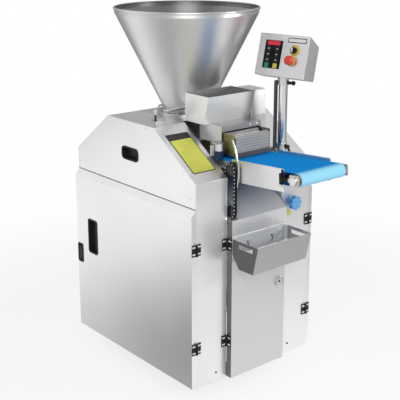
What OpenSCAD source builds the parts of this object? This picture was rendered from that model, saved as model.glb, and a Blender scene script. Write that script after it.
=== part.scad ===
// Free-standing volumetric dough divider: hopper, suction piston, measuring drum, flour duster, belt.
// Millimetres, +Z up, the belt and the operator towards -Y, origin on the floor under the middle.

/* [Overall] */
// Width over the side doors
overall_w = 700; // [690:1:740]
// Length from the belt nose to the back panel
overall_l = 1250; // [1200:1:1300]
// Height of the hopper rim above the floor
overall_h = 1650; // [1600:1:1720]

/* [Cabinet] */
// Depth of the cabinet
body_d = 865; // [855:1:900]
// Width of the gap between the shoulders
gap_w = 316; // [306:1:330]
// Underside of the cabinet above the floor
skirt_z = 100; // [96:1:110]
// Flat top of the shoulders above the floor
deck_z = 1180; // [1150:1:1220]
// Height of the shoulders over the lower cabinet
shoulder_h = 288; // [280:1:296]
// Rise of the front slope
slope_rise = 185; // [175:1:195]
// Depth of the front slope
front_slope_d = 277; // [265:1:285]
// Depth of the flat top
deck_d = 335; // [325:1:345]
// Drop of the rear slope
rear_drop = 190; // [180:1:200]
// Sheet metal thickness
sheet = 2; // [1.5:0.1:2.5]
// Frame tube size
tube = 40; // [36:1:42]
// Wall of the frame tube
tube_wall = 3; // [2:0.5:4]

/* [Doors] */
// Thickness of a side door
door_t = 23; // [21:1:26]
// Height of the bevel along a side door's top edge
door_bevel = 25; // [15:1:30]
// Running gap round a door
door_gap = 4; // [3:0.5:5]
// Thickness of the front door
front_door_t = 30; // [27:1:32]
// Top of the front door below the shoulders' seam
front_door_drop = 77; // [76:1:90]
// Height of a hinge leaf
hinge_h = 50; // [40:1:60]
// Radius of a hinge knuckle
knuckle_r = 5; // [4.5:0.1:5.4]
// Radius of a hinge pin
hinge_pin_r = 2.5; // [2:0.1:3]

/* [Hopper] */
// Radius of the hopper rim
rim_r = 323; // [310:1:330]
// Radius of the hopper throat
throat_r = 100; // [95:1:105]
// Height of the upright collar under the rim
collar_h = 24; // [18:1:30]
// Thickness of the hopper wall
hopper_wall = 3; // [2:0.5:4]
// Distance from the front panel to the hopper axis
hopper_d = 455; // [450:1:460]

/* [Discharge belt] */
// Distance from the cabinet's front to the tail roller inside it
belt_in = 136; // [126:1:140]
// Room beside the belt for its plate and its chain
belt_margin = 35; // [33:1:40]
// Belt thickness
belt_t = 2; // [1.5:0.1:2.5]
// Radius of the end rollers
roller_r = 25; // [24:0.5:26]
// Upward slope of the belt towards its nose, in degrees
belt_slope = 4; // [2:0.5:5]
// Tail roller's axis below the flat top
belt_drop = 159.5; // [156:0.5:164]
// Height of the belt's side plates
side_plate_h = 66; // [60:1:70]

/* [Controls] */
// Width of the control box
panel_w = 250; // [230:1:260]
// Height of the control box
panel_h = 180; // [170:1:190]
// Depth of the control box
panel_d = 80; // [70:1:90]
// Radius of the post
post_r = 19; // [17:0.5:21]
// Top of the post above the flat top
post_h = 205; // [195:1:230]
// Turn of the control box about its post, in degrees
panel_yaw = 11; // [0:1:20]
// Backward tilt of the control box, in degrees
panel_tilt = 15; // [5:1:18]

/* [Castors] */
// Radius of a castor wheel
wheel_r = 37.5; // [36:0.5:39]
// Width of a castor wheel
wheel_w = 26; // [22:1:30]
// Distance from the cabinet's edges to a castor's axis
castor_in = 130; // [125:1:140]

/* [Hidden] */
$fn = 64;
// Cuts run past the faces they open by this much
overrun = 5;
// Radial clearance of a running fit
run_gap = 0.05;
// Clearance between moving faces that don't bear on each other
free_gap = 0.5;
// Clearance between a soft belt and the rollers under it
belt_gap = 0.3;
// Clearance under a piece that stands on a slope
seat_gap = 0.1;
// Height of a moulded cup's rim over its panel
bezel_t = 2;

half_w = overall_w / 2 - door_t - bezel_t;
gap_half = gap_w / 2;
shoulder_w = half_w - gap_half;
seam_z = deck_z - shoulder_h;
front_top_z = deck_z - slope_rise;
rear_top_z = deck_z - rear_drop;
front_y = overall_l / 2 - body_d;
back_y = overall_l / 2;
deck_y0 = front_y + front_slope_d;
deck_y1 = deck_y0 + deck_d;
slope_angle = atan(slope_rise / front_slope_d);
rear_angle = atan(rear_drop / (back_y - deck_y1));
hopper_y = front_y + hopper_d;

function slope_z(y) = front_top_z + (y - front_y) * tan(slope_angle);
function rear_z(y) = deck_z - (y - deck_y1) * tan(rear_angle);

module slab(low, high) {
    translate(low) cube(high - low);
}

module rod_x(r, x0, x1, y, z) {
    translate([x0, y, z]) rotate([0, 90, 0]) cylinder(r = r, h = x1 - x0);
}

module rod_y(r, y0, y1, x, z) {
    translate([x, y0, z]) rotate([-90, 0, 0]) cylinder(r = r, h = y1 - y0);
}

module rod_z(r, z0, z1, x, y) {
    translate([x, y, z0]) cylinder(r = r, h = z1 - z0);
}

// Extrudes an outline drawn in Y and Z along X
module along_x(x0, x1) {
    translate([x0, 0, 0]) rotate([90, 0, 90]) linear_extrude(x1 - x0) children();
}

// A rectangle with round corners, centred on the origin
module round_rect(w, h, r) {
    square([w - 2 * r, h], center = true);
    square([w, h - 2 * r], center = true);
    for (x = [-w / 2 + r, w / 2 - r], y = [-h / 2 + r, h / 2 - r]) translate([x, y]) circle(r = r);
}

module both_sides() {
    children();
    mirror([1, 0, 0]) children();
}

// Frame: two rings of square tube, corner posts, cross beams for the works, a bearing for the jackshaft

frame_x = half_w - sheet;
frame_y0 = front_y + sheet;
frame_y1 = back_y - sheet;
// Ends of the dough chamber before and behind the hopper's axis
chamber_front = 293;
chamber_back = 115;
chamber_y0 = hopper_y - chamber_front;
chamber_y1 = hopper_y + chamber_back;
front_stand_in = 78;
drive_beam_in = 58;
chamber_beam_y0 = chamber_y0 + front_stand_in;
chamber_beam_y1 = chamber_y1 - tube;
drive_beam_y0 = deck_y1 + drive_beam_in;
jack_out = 6;
jack_drop = 39;
jack_in = 28.5;
jack_y = front_y - jack_out;
jack_z = seam_z - jack_drop;
jack_r = 9;
jack_hub_d = 32;
jack_arm_t = 7;
jack_x1 = -gap_half + jack_in;

module tube_y(x0, y0, y1, z0) {
    difference() {
        slab([x0, y0, z0], [x0 + tube, y1, z0 + tube]);
        slab([x0 + tube_wall, y0 - overrun, z0 + tube_wall],
            [x0 + tube - tube_wall, y1 + overrun, z0 + tube - tube_wall]);
    }
}

module tube_x(x0, x1, y0, z0) {
    difference() {
        slab([x0, y0, z0], [x1, y0 + tube, z0 + tube]);
        slab([x0 - overrun, y0 + tube_wall, z0 + tube_wall],
            [x1 + overrun, y0 + tube - tube_wall, z0 + tube - tube_wall]);
    }
}

module frame_post(x0, y0) {
    difference() {
        slab([x0, y0, skirt_z + tube], [x0 + tube, y0 + tube, seam_z - tube]);
        slab([x0 + tube_wall, y0 + tube_wall, skirt_z + tube - overrun],
            [x0 + tube - tube_wall, y0 + tube - tube_wall, seam_z - tube + overrun]);
    }
}

module base_frame() {
    inner_x = frame_x - tube;
    color("dimgray") {
        for (z = [skirt_z, seam_z - tube]) {
            for (x = [-frame_x, inner_x]) tube_y(x, frame_y0, frame_y1, z);
            tube_x(-inner_x, inner_x, frame_y1 - tube, z);
        }
        tube_x(-inner_x, inner_x, frame_y0, skirt_z);
        for (y = [chamber_beam_y0, chamber_beam_y1, drive_beam_y0]) {
            tube_x(-inner_x, inner_x, y, seam_z - tube);
        }
        for (x = [-frame_x, inner_x], y = [frame_y0, frame_y1 - tube]) frame_post(x, y);
        // Bearing arm of the jackshaft, welded to the first cross beam
        difference() {
            union() {
                slab([jack_x1 - jack_arm_t, jack_y, jack_z - jack_hub_d / 3],
                    [jack_x1, chamber_beam_y0, jack_z + jack_hub_d / 3]);
                rod_x(jack_hub_d / 2, jack_x1 - jack_arm_t, jack_x1, jack_y, jack_z);
                slab([jack_x1 - jack_arm_t, chamber_beam_y0 - tube, jack_z - jack_hub_d / 3],
                    [jack_x1, chamber_beam_y0, seam_z]);
            }
            rod_x(jack_r + run_gap, jack_x1 - jack_arm_t - overrun, jack_x1 + overrun, jack_y, jack_z);
        }
    }
}

// Front columns: folded pans on each side of the front door

column_flange = 30;

module front_columns() {
    color("gainsboro") both_sides() {
        slab([-half_w, front_y, skirt_z], [-gap_half, front_y + sheet, front_top_z]);
        slab([-gap_half - sheet, front_y + sheet, skirt_z + tube],
            [-gap_half, front_y + column_flange, seam_z]);
    }
}

// Shoulders: closed shells over the lower cabinet, with a sloped front and a chamfered back

grip_w = 112;
grip_h = 50;
grip_corner = 16;
grip_in = 448;
grip_drop = 144;
grip_y = front_y + grip_in;
grip_z = deck_z - grip_drop;
grip_depth = 24;
bezel_w = 5;
grip_wall = 2;

function shoulder_outline(inset) = let (
    y0 = front_y + sheet + inset,
    y1 = back_y - sheet - inset,
    low = seam_z - (inset > 0 ? overrun : 0)) [
    [y0, low],
    [y0, slope_z(y0) - inset / cos(slope_angle)],
    [deck_y0 + inset * tan(slope_angle / 2), deck_z - inset],
    [deck_y1 - inset * tan(rear_angle / 2), deck_z - inset],
    [y1, rear_z(y1) - inset / cos(rear_angle)],
    [y1, low]];

module shoulder_shell() {
    difference() {
        along_x(-half_w, -gap_half) polygon(shoulder_outline(0));
        along_x(-half_w + sheet, -gap_half - sheet) polygon(shoulder_outline(sheet));
        along_x(-half_w - overrun, -half_w + sheet + overrun)
            translate([grip_y, grip_z]) round_rect(grip_w, grip_h, grip_corner);
    }
}

module left_shoulder() {
    color("whitesmoke") shoulder_shell();
}

module right_shoulder() {
    color("whitesmoke") mirror([1, 0, 0]) shoulder_shell();
}

// A moulded cup with a flat rim; the rim lies on the panel at x = 0 and faces -X
module recessed_grip(w, h, depth, corner) {
    difference() {
        union() {
            along_x(-bezel_t, 0) round_rect(w + 2 * bezel_w, h + 2 * bezel_w, corner + bezel_w);
            along_x(0, depth) round_rect(w - 2 * free_gap, h - 2 * free_gap, corner - free_gap);
        }
        along_x(-bezel_t - overrun, depth - grip_wall)
            round_rect(w - 2 * grip_wall, h - 2 * grip_wall, corner - grip_wall);
    }
}

module shoulder_grips() {
    color("black") both_sides() translate([-half_w, grip_y, grip_z])
        recessed_grip(grip_w, grip_h, grip_depth, grip_corner);
}

// Center cover: the deck under the hopper and the rear slope, between the shoulders

inlet_r = 92;
cover_front = 155;
cover_front_y = hopper_y - cover_front;

module center_cover() {
    color("gainsboro") difference() {
        along_x(-gap_half, gap_half) polygon([
            [cover_front_y, deck_z - sheet],
            [deck_y1 - sheet * tan(rear_angle / 2), deck_z - sheet],
            [back_y - sheet, rear_z(back_y - sheet) - sheet / cos(rear_angle)],
            [back_y - sheet, rear_z(back_y - sheet)],
            [deck_y1, deck_z],
            [cover_front_y, deck_z]]);
        rod_z(inlet_r, deck_z - sheet - overrun, deck_z + overrun, 0, hopper_y);
    }
}

// Back panel with vent slots and the mains inlet

vent_count = 8;
vent_pitch = 24;
vent_w = 180;
vent_h = 8;
vent_drop = 350;
vent_z = rear_top_z - vent_drop;
vent_x = 130;
inlet_hole_r = 11;
inlet_in = 105;
inlet_up = 130;
inlet_x = -half_w + inlet_in;
inlet_z = skirt_z + inlet_up;

module rear_panel() {
    color("gainsboro") difference() {
        slab([-half_w, back_y - sheet, skirt_z], [half_w, back_y, rear_top_z]);
        for (i = [0 : vent_count - 1], x = [-vent_x, vent_x]) {
            slab([x - vent_w / 2, back_y - sheet - overrun, vent_z + i * vent_pitch],
                [x + vent_w / 2, back_y + overrun, vent_z + i * vent_pitch + vent_h]);
        }
        rod_y(inlet_hole_r, back_y - sheet - overrun, back_y + overrun, inlet_x, inlet_z);
    }
}

// Cable gland in the back panel: a flange inside and a threaded neck that stays within the panel's face
gland_bore_r = 7;
gland_flange_r = 17;
gland_len = 26;

module mains_gland() {
    color("black") difference() {
        union() {
            rod_y(inlet_hole_r - run_gap, back_y - sheet - gland_len, back_y, inlet_x, inlet_z);
            rod_y(gland_flange_r, back_y - sheet - gland_len, back_y - sheet, inlet_x, inlet_z);
        }
        rod_y(gland_bore_r, back_y - sheet - gland_len - overrun, back_y + overrun, inlet_x, inlet_z);
    }
}

// Chute: the dark apron from under the belt to the top of the front door, fixed to the right side

front_door_top = seam_z - front_door_drop;
chain_room = 32;
chute_gap = 5;
chute_run = 128;
chute_up = 70;
chute_x0 = -gap_half + chain_room;
chute_low_z = front_door_top + chute_gap;
chute_high_y = front_y + chute_run;
chute_high_z = seam_z + chute_up;
chute_t = 3;
chute_cheek_h = 22;
chute_lip = 4;

module chute() {
    run = chute_high_y - (front_y - front_door_t);
    rise = chute_high_z - chute_low_z;
    face_drop = chute_t * sqrt(run * run + rise * rise) / run;
    y0 = front_y - front_door_t;
    color("dimgray") {
        along_x(chute_x0, gap_half) polygon([
            [y0, chute_low_z - chute_lip],
            [y0, chute_low_z],
            [chute_high_y, chute_high_z],
            [chute_high_y, chute_high_z - face_drop],
            [y0 + chute_t, chute_low_z - chute_t],
            [y0 + chute_t, chute_low_z - chute_lip]]);
        for (x = [chute_x0, gap_half - chute_t]) along_x(x, x + chute_t) polygon([
            [y0, chute_low_z],
            [y0, chute_low_z + chute_lip],
            [chute_high_y, chute_high_z + chute_cheek_h],
            [chute_high_y, chute_high_z]]);
    }
}

// Hinges: the fixed leaf carries the middle knuckle and the pin, the moving leaf the outer knuckles.
// Drawn with the axis on Z at the origin and the fixed leaf towards +X on a face at y = leaf_back.

leaf_w = door_t - knuckle_r;
leaf_t = 4;
knuckle_gap = 1;
leaf_back = knuckle_r + knuckle_gap;
knuckle_mid_share = 0.4;
screw_hole_r = 2;
leaf_screw_share = 0.3;
leaf_across_shares = [0.45, 0.8];
knuckle_mid = hinge_h * knuckle_mid_share;

module hinge_leaf(sx) {
    x0 = sx > 0 ? 0 : -leaf_w - knuckle_r;
    difference() {
        slab([x0, leaf_back - leaf_t, -hinge_h / 2], [x0 + leaf_w + knuckle_r, leaf_back, hinge_h / 2]);
        for (x = leaf_across_shares, z = [-leaf_screw_share, leaf_screw_share]) {
            rod_y(screw_hole_r, -overrun, leaf_back + overrun, sx * x * (leaf_w + knuckle_r), z * hinge_h);
        }
    }
}

module hinge_fixed() {
    difference() {
        union() {
            hinge_leaf(1);
            rod_z(knuckle_r, -knuckle_mid / 2, knuckle_mid / 2, 0, 0);
        }
        for (s = [-1, 1]) {
            translate([0, 0, s * (knuckle_mid / 2 + hinge_h / 2)]) cube(
                [2 * (knuckle_r + free_gap), 2 * (knuckle_r + free_gap) + leaf_t, hinge_h], center = true);
        }
    }
    rod_z(hinge_pin_r, -hinge_h / 2, hinge_h / 2, 0, 0);
}

module hinge_moving() {
    difference() {
        union() {
            hinge_leaf(-1);
            for (z = [-hinge_h / 2, knuckle_mid / 2 + free_gap]) {
                rod_z(knuckle_r, z, z + (hinge_h - knuckle_mid) / 2 - free_gap, 0, 0);
            }
        }
        cube([2 * (knuckle_r + free_gap), 2 * (knuckle_r + free_gap) + leaf_t, knuckle_mid + 2 * free_gap],
            center = true);
        rod_z(hinge_pin_r + run_gap, -hinge_h, hinge_h, 0, 0);
    }
}

// The front door's moving leaf lies on the door's edge, square to the column
module hinge_moving_square() {
    rotate([0, 0, -90]) mirror([1, 0, 0]) hinge_moving();
}

side_hinge_low = 179;
side_hinge_high = 168;
front_hinge_low = 170;
front_hinge_high = 104;
door_z0 = skirt_z + door_gap;
door_z1 = seam_z - door_gap;
side_hinge_z = [door_z0 + side_hinge_low, door_z1 - side_hinge_high];
front_hinge_z = [door_z0 + front_hinge_low, front_door_top - front_hinge_high];
front_door_reveal = 2;
front_door_w = gap_w - 2 * front_door_reveal;
side_axis_y = front_y - leaf_back;
front_axis_x = -front_door_w / 2 - leaf_back;

module fixed_hinge_leaves() {
    color("black") {
        both_sides() for (z = side_hinge_z) translate([-half_w, side_axis_y, z]) hinge_fixed();
        for (z = front_hinge_z) translate([front_axis_x, side_axis_y, z]) mirror([1, 0, 0]) hinge_fixed();
    }
}

// Side doors: pans that lie on the cabinet's sides, hinged at the front

door_y1 = back_y - door_gap;
door_lip = 3;
door_grip_w = 66;
door_grip_h = 158;
door_corner = 9;
door_grip_in = 133;
door_grip_up = 481;
door_grip_y = door_y1 - door_grip_in;
door_grip_z = door_z0 + door_grip_up;
latch_in = 23;
latch_up = 374;
latch_y = door_y1 - latch_in;
latch_z = door_z0 + latch_up;
latch_w = 34;
latch_h = 84;
latch_corner = 5;
latch_depth = 18;

module door_profile(inset) {
    polygon([
        [-overrun * sign(inset), door_z0 + inset],
        [door_t - inset, door_z0 + inset],
        [door_t - inset, door_z1 - door_bevel],
        [door_lip, door_z1 - inset],
        [-overrun * sign(inset), door_z1 - inset]]);
}

// The outline is drawn in X and Z from the cabinet's side outwards
module door_pan() {
    translate([-half_w, 0, 0]) mirror([1, 0, 0]) difference() {
        translate([0, door_y1, 0]) rotate([90, 0, 0]) linear_extrude(door_y1 - front_y) door_profile(0);
        translate([0, door_y1 - sheet, 0]) rotate([90, 0, 0])
            linear_extrude(door_y1 - front_y - 2 * sheet) door_profile(sheet);
        along_x(-overrun, door_t + overrun) {
            translate([door_grip_y, door_grip_z]) round_rect(door_grip_w, door_grip_h, door_corner);
            translate([latch_y, latch_z]) round_rect(latch_w, latch_h, latch_corner);
        }
    }
}

module door_fittings() {
    translate([-half_w - door_t, door_grip_y, door_grip_z])
        recessed_grip(door_grip_w, door_grip_h, door_t - bezel_t, door_corner);
    difference() {
        translate([-half_w - door_t, latch_y, latch_z])
            recessed_grip(latch_w, latch_h, latch_depth, latch_corner);
        rod_y(latch_pin_r + run_gap, latch_y - latch_w, latch_y + latch_w, latch_pin_x, latch_pin_z);
    }
    for (z = side_hinge_z) translate([-half_w, side_axis_y, z]) hinge_moving();
}

// Flush lift latch: a bar that hangs in its cup from a pin along Y
latch_bar_w = 20;
latch_bar_h = 66;
latch_bar_t = 8;
latch_pin_r = 2.2;
latch_pin_drop = 7;
latch_pin_z = latch_z + latch_bar_h / 2 - latch_pin_drop;
latch_pin_x = -half_w - door_t - bezel_t + latch_bar_t / 2;

module side_latch() {
    pin_half = latch_w / 2 - free_gap;
    translate([latch_pin_x, latch_y, latch_z]) cube([latch_bar_t, latch_bar_w, latch_bar_h], center = true);
    rod_y(latch_pin_r, latch_y - pin_half, latch_y + pin_half, latch_pin_x, latch_pin_z);
}

module left_door() {
    color("whitesmoke") door_pan();
}

module right_door() {
    color("whitesmoke") mirror([1, 0, 0]) door_pan();
}

module left_door_fittings() {
    color("black") door_fittings();
}

module right_door_fittings() {
    color("black") mirror([1, 0, 0]) door_fittings();
}

module left_latch() {
    color("black") side_latch();
}

module right_latch() {
    color("black") mirror([1, 0, 0]) side_latch();
}

// Front door: a pan over the opening between the columns, with a cam lock and the hooks of the bin

lock_in = 34;
lock_up = 376;
lock_x = front_door_w / 2 - lock_in;
lock_z = door_z0 + lock_up;
lock_r = 10;
lock_head_r = 14;
lock_head_t = 3;
hook_x = 70;
hook_drop = 103;
hook_z = front_door_top - hook_drop;
hook_r = 4;
hook_head_r = 8;
hook_len = 10;
hook_head_t = 3;
front_door_face = front_y - front_door_t;

module front_door() {
    x0 = -front_door_w / 2;
    color("silver") {
        difference() {
            slab([x0, front_door_face, skirt_z + door_gap], [-x0, front_y - free_gap, front_door_top]);
            slab([x0 + sheet, front_door_face + sheet, skirt_z + door_gap + sheet],
                [-x0 - sheet, front_y + overrun, front_door_top - sheet]);
            rod_y(lock_r + run_gap, front_door_face - overrun, front_y, lock_x, lock_z);
        }
        for (x = [-hook_x, hook_x]) {
            tip = front_door_face - hook_len;
            rod_y(hook_r, tip, front_door_face, x, hook_z);
            rod_y(hook_head_r, tip, tip + hook_head_t, x, hook_z);
        }
    }
}

module front_door_fittings() {
    color("black") for (z = front_hinge_z) translate([front_axis_x, side_axis_y, z]) hinge_moving_square();
}

key_slot_w = 2;
lock_tongue_l = 24;
lock_tongue_t = 4;
lock_tongue_w = 14;
lock_tongue_out = 8;
lock_tongue_y = front_y - lock_tongue_out;

module front_lock() {
    color("silver") translate([lock_x, 0, lock_z]) {
        difference() {
            rod_y(lock_head_r, front_door_face - lock_head_t, front_door_face, 0, 0);
            translate([0, front_door_face - lock_head_t, 0])
                cube([key_slot_w, lock_head_t, lock_head_r], center = true);
        }
        rod_y(lock_r, front_door_face, lock_tongue_y, 0, 0);
        slab([-lock_tongue_w / 2, lock_tongue_y - lock_tongue_t, 0],
            [lock_tongue_w / 2, lock_tongue_y, lock_tongue_l]);
    }
}

// Catch bin: an open tray hung by keyholes on the two hooks, with hand slots in its ends

bin_reveal = 2;
bin_w = front_door_w - 2 * bin_reveal;
bin_hook_drop = 26;
bin_top_z = hook_z + bin_hook_drop;
bin_front_top = 150;
bin_front_low = 122;
bin_back_low = 36;
bin_knee_h = 70;
bin_h = 122;
bin_back_lip = 6;
bin_play = 3.5;
bin_slot_in = 34;
bin_slot_w = 84;
bin_slot_h = 17;
bin_slot_drop = 14;
bin_lift = 24;
bin_y = front_door_face - bin_play;

// Side view of the tray from its back wall forwards: back, knee, floor and flared front
function bin_outline(inset) = let (
    top = bin_top_z + (inset > 0 ? overrun : 0),
    low = bin_top_z - bin_h + inset,
    flare = (bin_front_top - bin_front_low) / bin_h) [
    [bin_y - inset, top],
    [bin_y - inset, bin_top_z - bin_knee_h],
    [bin_y - bin_back_low - inset / 2, low],
    [bin_y - bin_front_low + inset, low],
    [bin_y - bin_front_top + inset - flare * (top - bin_top_z), top]];

module catch_bin() {
    color("silver") difference() {
        union() {
            difference() {
                along_x(-bin_w / 2, bin_w / 2) polygon(bin_outline(0));
                along_x(-bin_w / 2 + sheet, bin_w / 2 - sheet) polygon(bin_outline(sheet));
            }
            slab([-bin_w / 2, bin_y - sheet, bin_top_z], [bin_w / 2, bin_y, bin_top_z + bin_back_lip]);
        }
        for (x = [-hook_x, hook_x]) {
            rod_y(hook_r + run_gap, bin_y - sheet - overrun, bin_y + overrun, x, hook_z);
            slab([x - hook_r - run_gap, bin_y - sheet - overrun, hook_z - bin_lift],
                [x + hook_r + run_gap, bin_y + overrun, hook_z]);
            rod_y(hook_head_r + free_gap, bin_y - sheet - overrun, bin_y + overrun, x, hook_z - bin_lift);
        }
        translate([0, bin_y - bin_slot_in - bin_slot_w / 2, bin_top_z - bin_slot_drop - bin_slot_h / 2])
            cube([bin_w + 2 * overrun, bin_slot_w, bin_slot_h], center = true);
    }
}

// Hopper: a spun cone with a rolled rim and an upright collar, on a flange that tilts to the left

bead_r = 5;
flange_r = 128;
flange_t = 8;
flange_z = deck_z + belt_gap;
tilt_h = 42;
tilt_x_share = 0.491;
tilt_x = -gap_half - shoulder_w * tilt_x_share;
tilt_z = deck_z + tilt_h;
tilt_pin_r = 7;
eye_r = 16;
eye_t = 14;
ear_t = 10;
ear_foot_w = 52;
ear_foot_t = 8;
tilt_in = 100;
tilt_y = hopper_y - tilt_in;
arm_foot_x0 = -80;
arm_foot_x1 = -50;

module hopper() {
    cone_z = flange_z + flange_t;
    color("silver") {
        translate([0, hopper_y, 0]) rotate_extrude($fn = 128) polygon([
            [throat_r, cone_z],
            [rim_r - bead_r, overall_h - collar_h],
            [rim_r - bead_r, overall_h],
            [rim_r - bead_r - hopper_wall, overall_h],
            [rim_r - bead_r - hopper_wall, overall_h - collar_h],
            [throat_r - hopper_wall, cone_z]]);
        translate([0, hopper_y, overall_h - bead_r]) rotate_extrude($fn = 128)
            translate([rim_r - bead_r, 0]) circle(r = bead_r, $fn = 24);
        difference() {
            union() {
                rod_z(flange_r, flange_z, cone_z, 0, hopper_y);
                translate([0, tilt_y, 0]) {
                    difference() {
                        union() {
                            rod_x(eye_t / 2, tilt_x, (arm_foot_x0 + arm_foot_x1) / 2, 0, tilt_z);
                            rod_y(eye_r, -eye_t / 2, eye_t / 2, tilt_x, tilt_z);
                        }
                        rod_y(tilt_pin_r + run_gap, -eye_t, eye_t, tilt_x, tilt_z);
                    }
                    slab([arm_foot_x0, -eye_t / 2, flange_z], [arm_foot_x1, eye_t / 2, tilt_z + eye_t / 2]);
                }
            }
            translate([0, hopper_y, 0]) rotate_extrude() polygon([
                [0, flange_z - overrun],
                [throat_r - hopper_wall, flange_z - overrun],
                [throat_r - hopper_wall, cone_z],
                [throat_r + (tilt_z - cone_z) * (rim_r - throat_r) / (overall_h - cone_z), tilt_z + eye_t],
                [0, tilt_z + eye_t]]);
        }
    }
}

// A clevis on the left deck carries the tilt pin, which has a pull ring at its front end
pull_ring_r = 18;
pull_wire_r = 4.5;

module hopper_bracket() {
    ear_y = eye_t / 2 + free_gap;
    ring_y = -ear_y - ear_t - pull_wire_r;
    color("gray") translate([tilt_x, tilt_y, 0]) {
        slab([-ear_foot_w / 2, -ear_y - ear_t, deck_z],
            [ear_foot_w / 2, ear_y + ear_t, deck_z + ear_foot_t]);
        for (y = [-ear_y - ear_t, ear_y]) {
            slab([-eye_r + sheet, y, deck_z], [eye_r - sheet, y + ear_t, tilt_z]);
            rod_y(eye_r, y, y + ear_t, 0, tilt_z);
        }
        rod_y(tilt_pin_r, ring_y, ear_y + ear_t, 0, tilt_z);
        translate([0, ring_y, tilt_z + pull_ring_r]) rotate([90, 0, 0]) rotate_extrude()
            translate([pull_ring_r, 0]) circle(r = pull_wire_r, $fn = 24);
    }
}

// Dough chamber: a block with the inlet, the piston bore and the knife slot, on two stands

chamber_in = 60;
chamber_h = 128;
chamber_x = gap_half - chamber_in;
chamber_z1 = deck_z - sheet;
chamber_z0 = chamber_z1 - chamber_h;
piston_r = 45;
piston_drop = 70;
piston_z = deck_z - piston_drop;
inlet_bore_r = 60;
inlet_bore_front = 45;
inlet_bore_y = hopper_y - inlet_bore_front;
knife_t = 8;
knife_wall = 20;
knife_drop = 16;
knife_clear = 2;
knife_x = chamber_x - knife_wall;
knife_z = deck_z - knife_drop;
knife_front_y = inlet_bore_y + inlet_bore_r + knife_clear;
stand_t = 12;
stand_in = 18;
stand_x = chamber_x - stand_in;

module dough_chamber() {
    slot_half = knife_t / 2 + run_gap;
    color("lightgray") {
        difference() {
            slab([-chamber_x, chamber_y0, chamber_z0], [chamber_x, chamber_y1, chamber_z1]);
            rod_y(piston_r + run_gap, chamber_y0 - overrun, chamber_y1 + overrun, 0, piston_z);
            rod_z(inlet_bore_r, piston_z, chamber_z1 + overrun, 0, inlet_bore_y);
            slab([-knife_x - free_gap, inlet_bore_y - inlet_bore_r - free_gap, knife_z - slot_half],
                [knife_x + free_gap, chamber_y1 + overrun, knife_z + slot_half]);
        }
        for (x = [-stand_x, stand_x - stand_t], y = [chamber_beam_y0, chamber_beam_y1]) {
            slab([x, y, seam_z], [x + stand_t, y + tube, chamber_z0]);
        }
    }
}

// Piston, knife and their rods

piston_front_y = inlet_bore_y + inlet_bore_r;
piston_len = 88;
piston_rod_r = 8;
crosshead_in = 38;
rod_run = 115;
crosshead_y = deck_y1 + crosshead_in;
crank_y = crosshead_y + rod_run;
crosshead_l = 30;
crosshead_h = 30;
crosshead_x = 9;

module suction_piston() {
    color("silver") {
        rod_y(piston_r, piston_front_y, piston_front_y + piston_len, 0, piston_z);
        rod_y(piston_rod_r, piston_front_y + piston_len, crosshead_y - crosshead_l / 2, 0, piston_z);
        slab([-crosshead_x, crosshead_y - crosshead_l / 2, piston_z - crosshead_h / 2],
            [crosshead_x, crosshead_y + crosshead_l / 2, piston_z + crosshead_h / 2]);
    }
}

knife_len = 120;

module knife() {
    color("silver") slab([-knife_x, knife_front_y, knife_z - knife_t / 2],
        [knife_x, knife_front_y + knife_len, knife_z + knife_t / 2]);
}

// Measuring drum: two radial pockets with pistons, on a shaft that runs in bronze cheeks

drum_r = 50;
drum_gap = 2;
drum_y = chamber_y0 - drum_r - drum_gap;
drum_z = piston_z;
drum_end = 6;
drum_x = chamber_x - drum_end;
drum_shaft_r = 16;
pocket_r = 20;
pocket_x = 24;
pocket_floor = 16;
pocket_piston_l = 14;
cheek_t = 6;
cheek_front = 84;
cheek_lap = 62;
cheek_low = 40;
cheek_high = 50;
cheek_y0 = drum_y - cheek_front;
cheek_y1 = chamber_y0 + cheek_lap;
cheek_z0 = drum_z - cheek_low;
cheek_z1 = drum_z + cheek_high;

module measuring_drum() {
    color("silver") difference() {
        union() {
            rod_x(drum_r, -drum_x, drum_x, drum_y, drum_z);
            rod_x(drum_shaft_r, -chamber_x - cheek_t, chamber_x + cheek_t, drum_y, drum_z);
        }
        for (x = [-pocket_x, pocket_x]) {
            rod_y(pocket_r + run_gap, drum_y + pocket_floor, drum_y + drum_r + overrun, x, drum_z);
        }
    }
}

module measuring_pistons() {
    color("ivory") for (x = [-pocket_x, pocket_x]) {
        rod_y(pocket_r, drum_y + pocket_floor, drum_y + pocket_floor + pocket_piston_l, x, drum_z);
    }
}

module drum_cheeks() {
    x0 = -chamber_x - cheek_t;
    color("darkkhaki") both_sides() difference() {
        slab([x0, cheek_y0, cheek_z0], [-chamber_x, cheek_y1, cheek_z1]);
        rod_x(drum_shaft_r + run_gap, x0 - overrun, -chamber_x + overrun, drum_y, drum_z);
        rod_x(guard_axis_r + run_gap, x0 - overrun, -chamber_x + overrun, guard_axis_y, guard_axis_z);
    }
}

// Drum guard: a ribbed plate hinged along its top edge

guard_end = 4;
guard_low = 48;
guard_high = 36;
guard_front = 6;
guard_axis_in = 8;
guard_x = chamber_x - guard_end;
guard_z0 = drum_z - guard_low;
guard_z1 = drum_z + guard_high;
guard_t = 3;
guard_y = cheek_y0 - guard_front;
guard_ribs = 7;
guard_rib_r = 2.5;
guard_axis_r = 4;
guard_axis_y = cheek_y0 + guard_axis_in;
guard_axis_z = guard_z1 + guard_axis_r;

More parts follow.
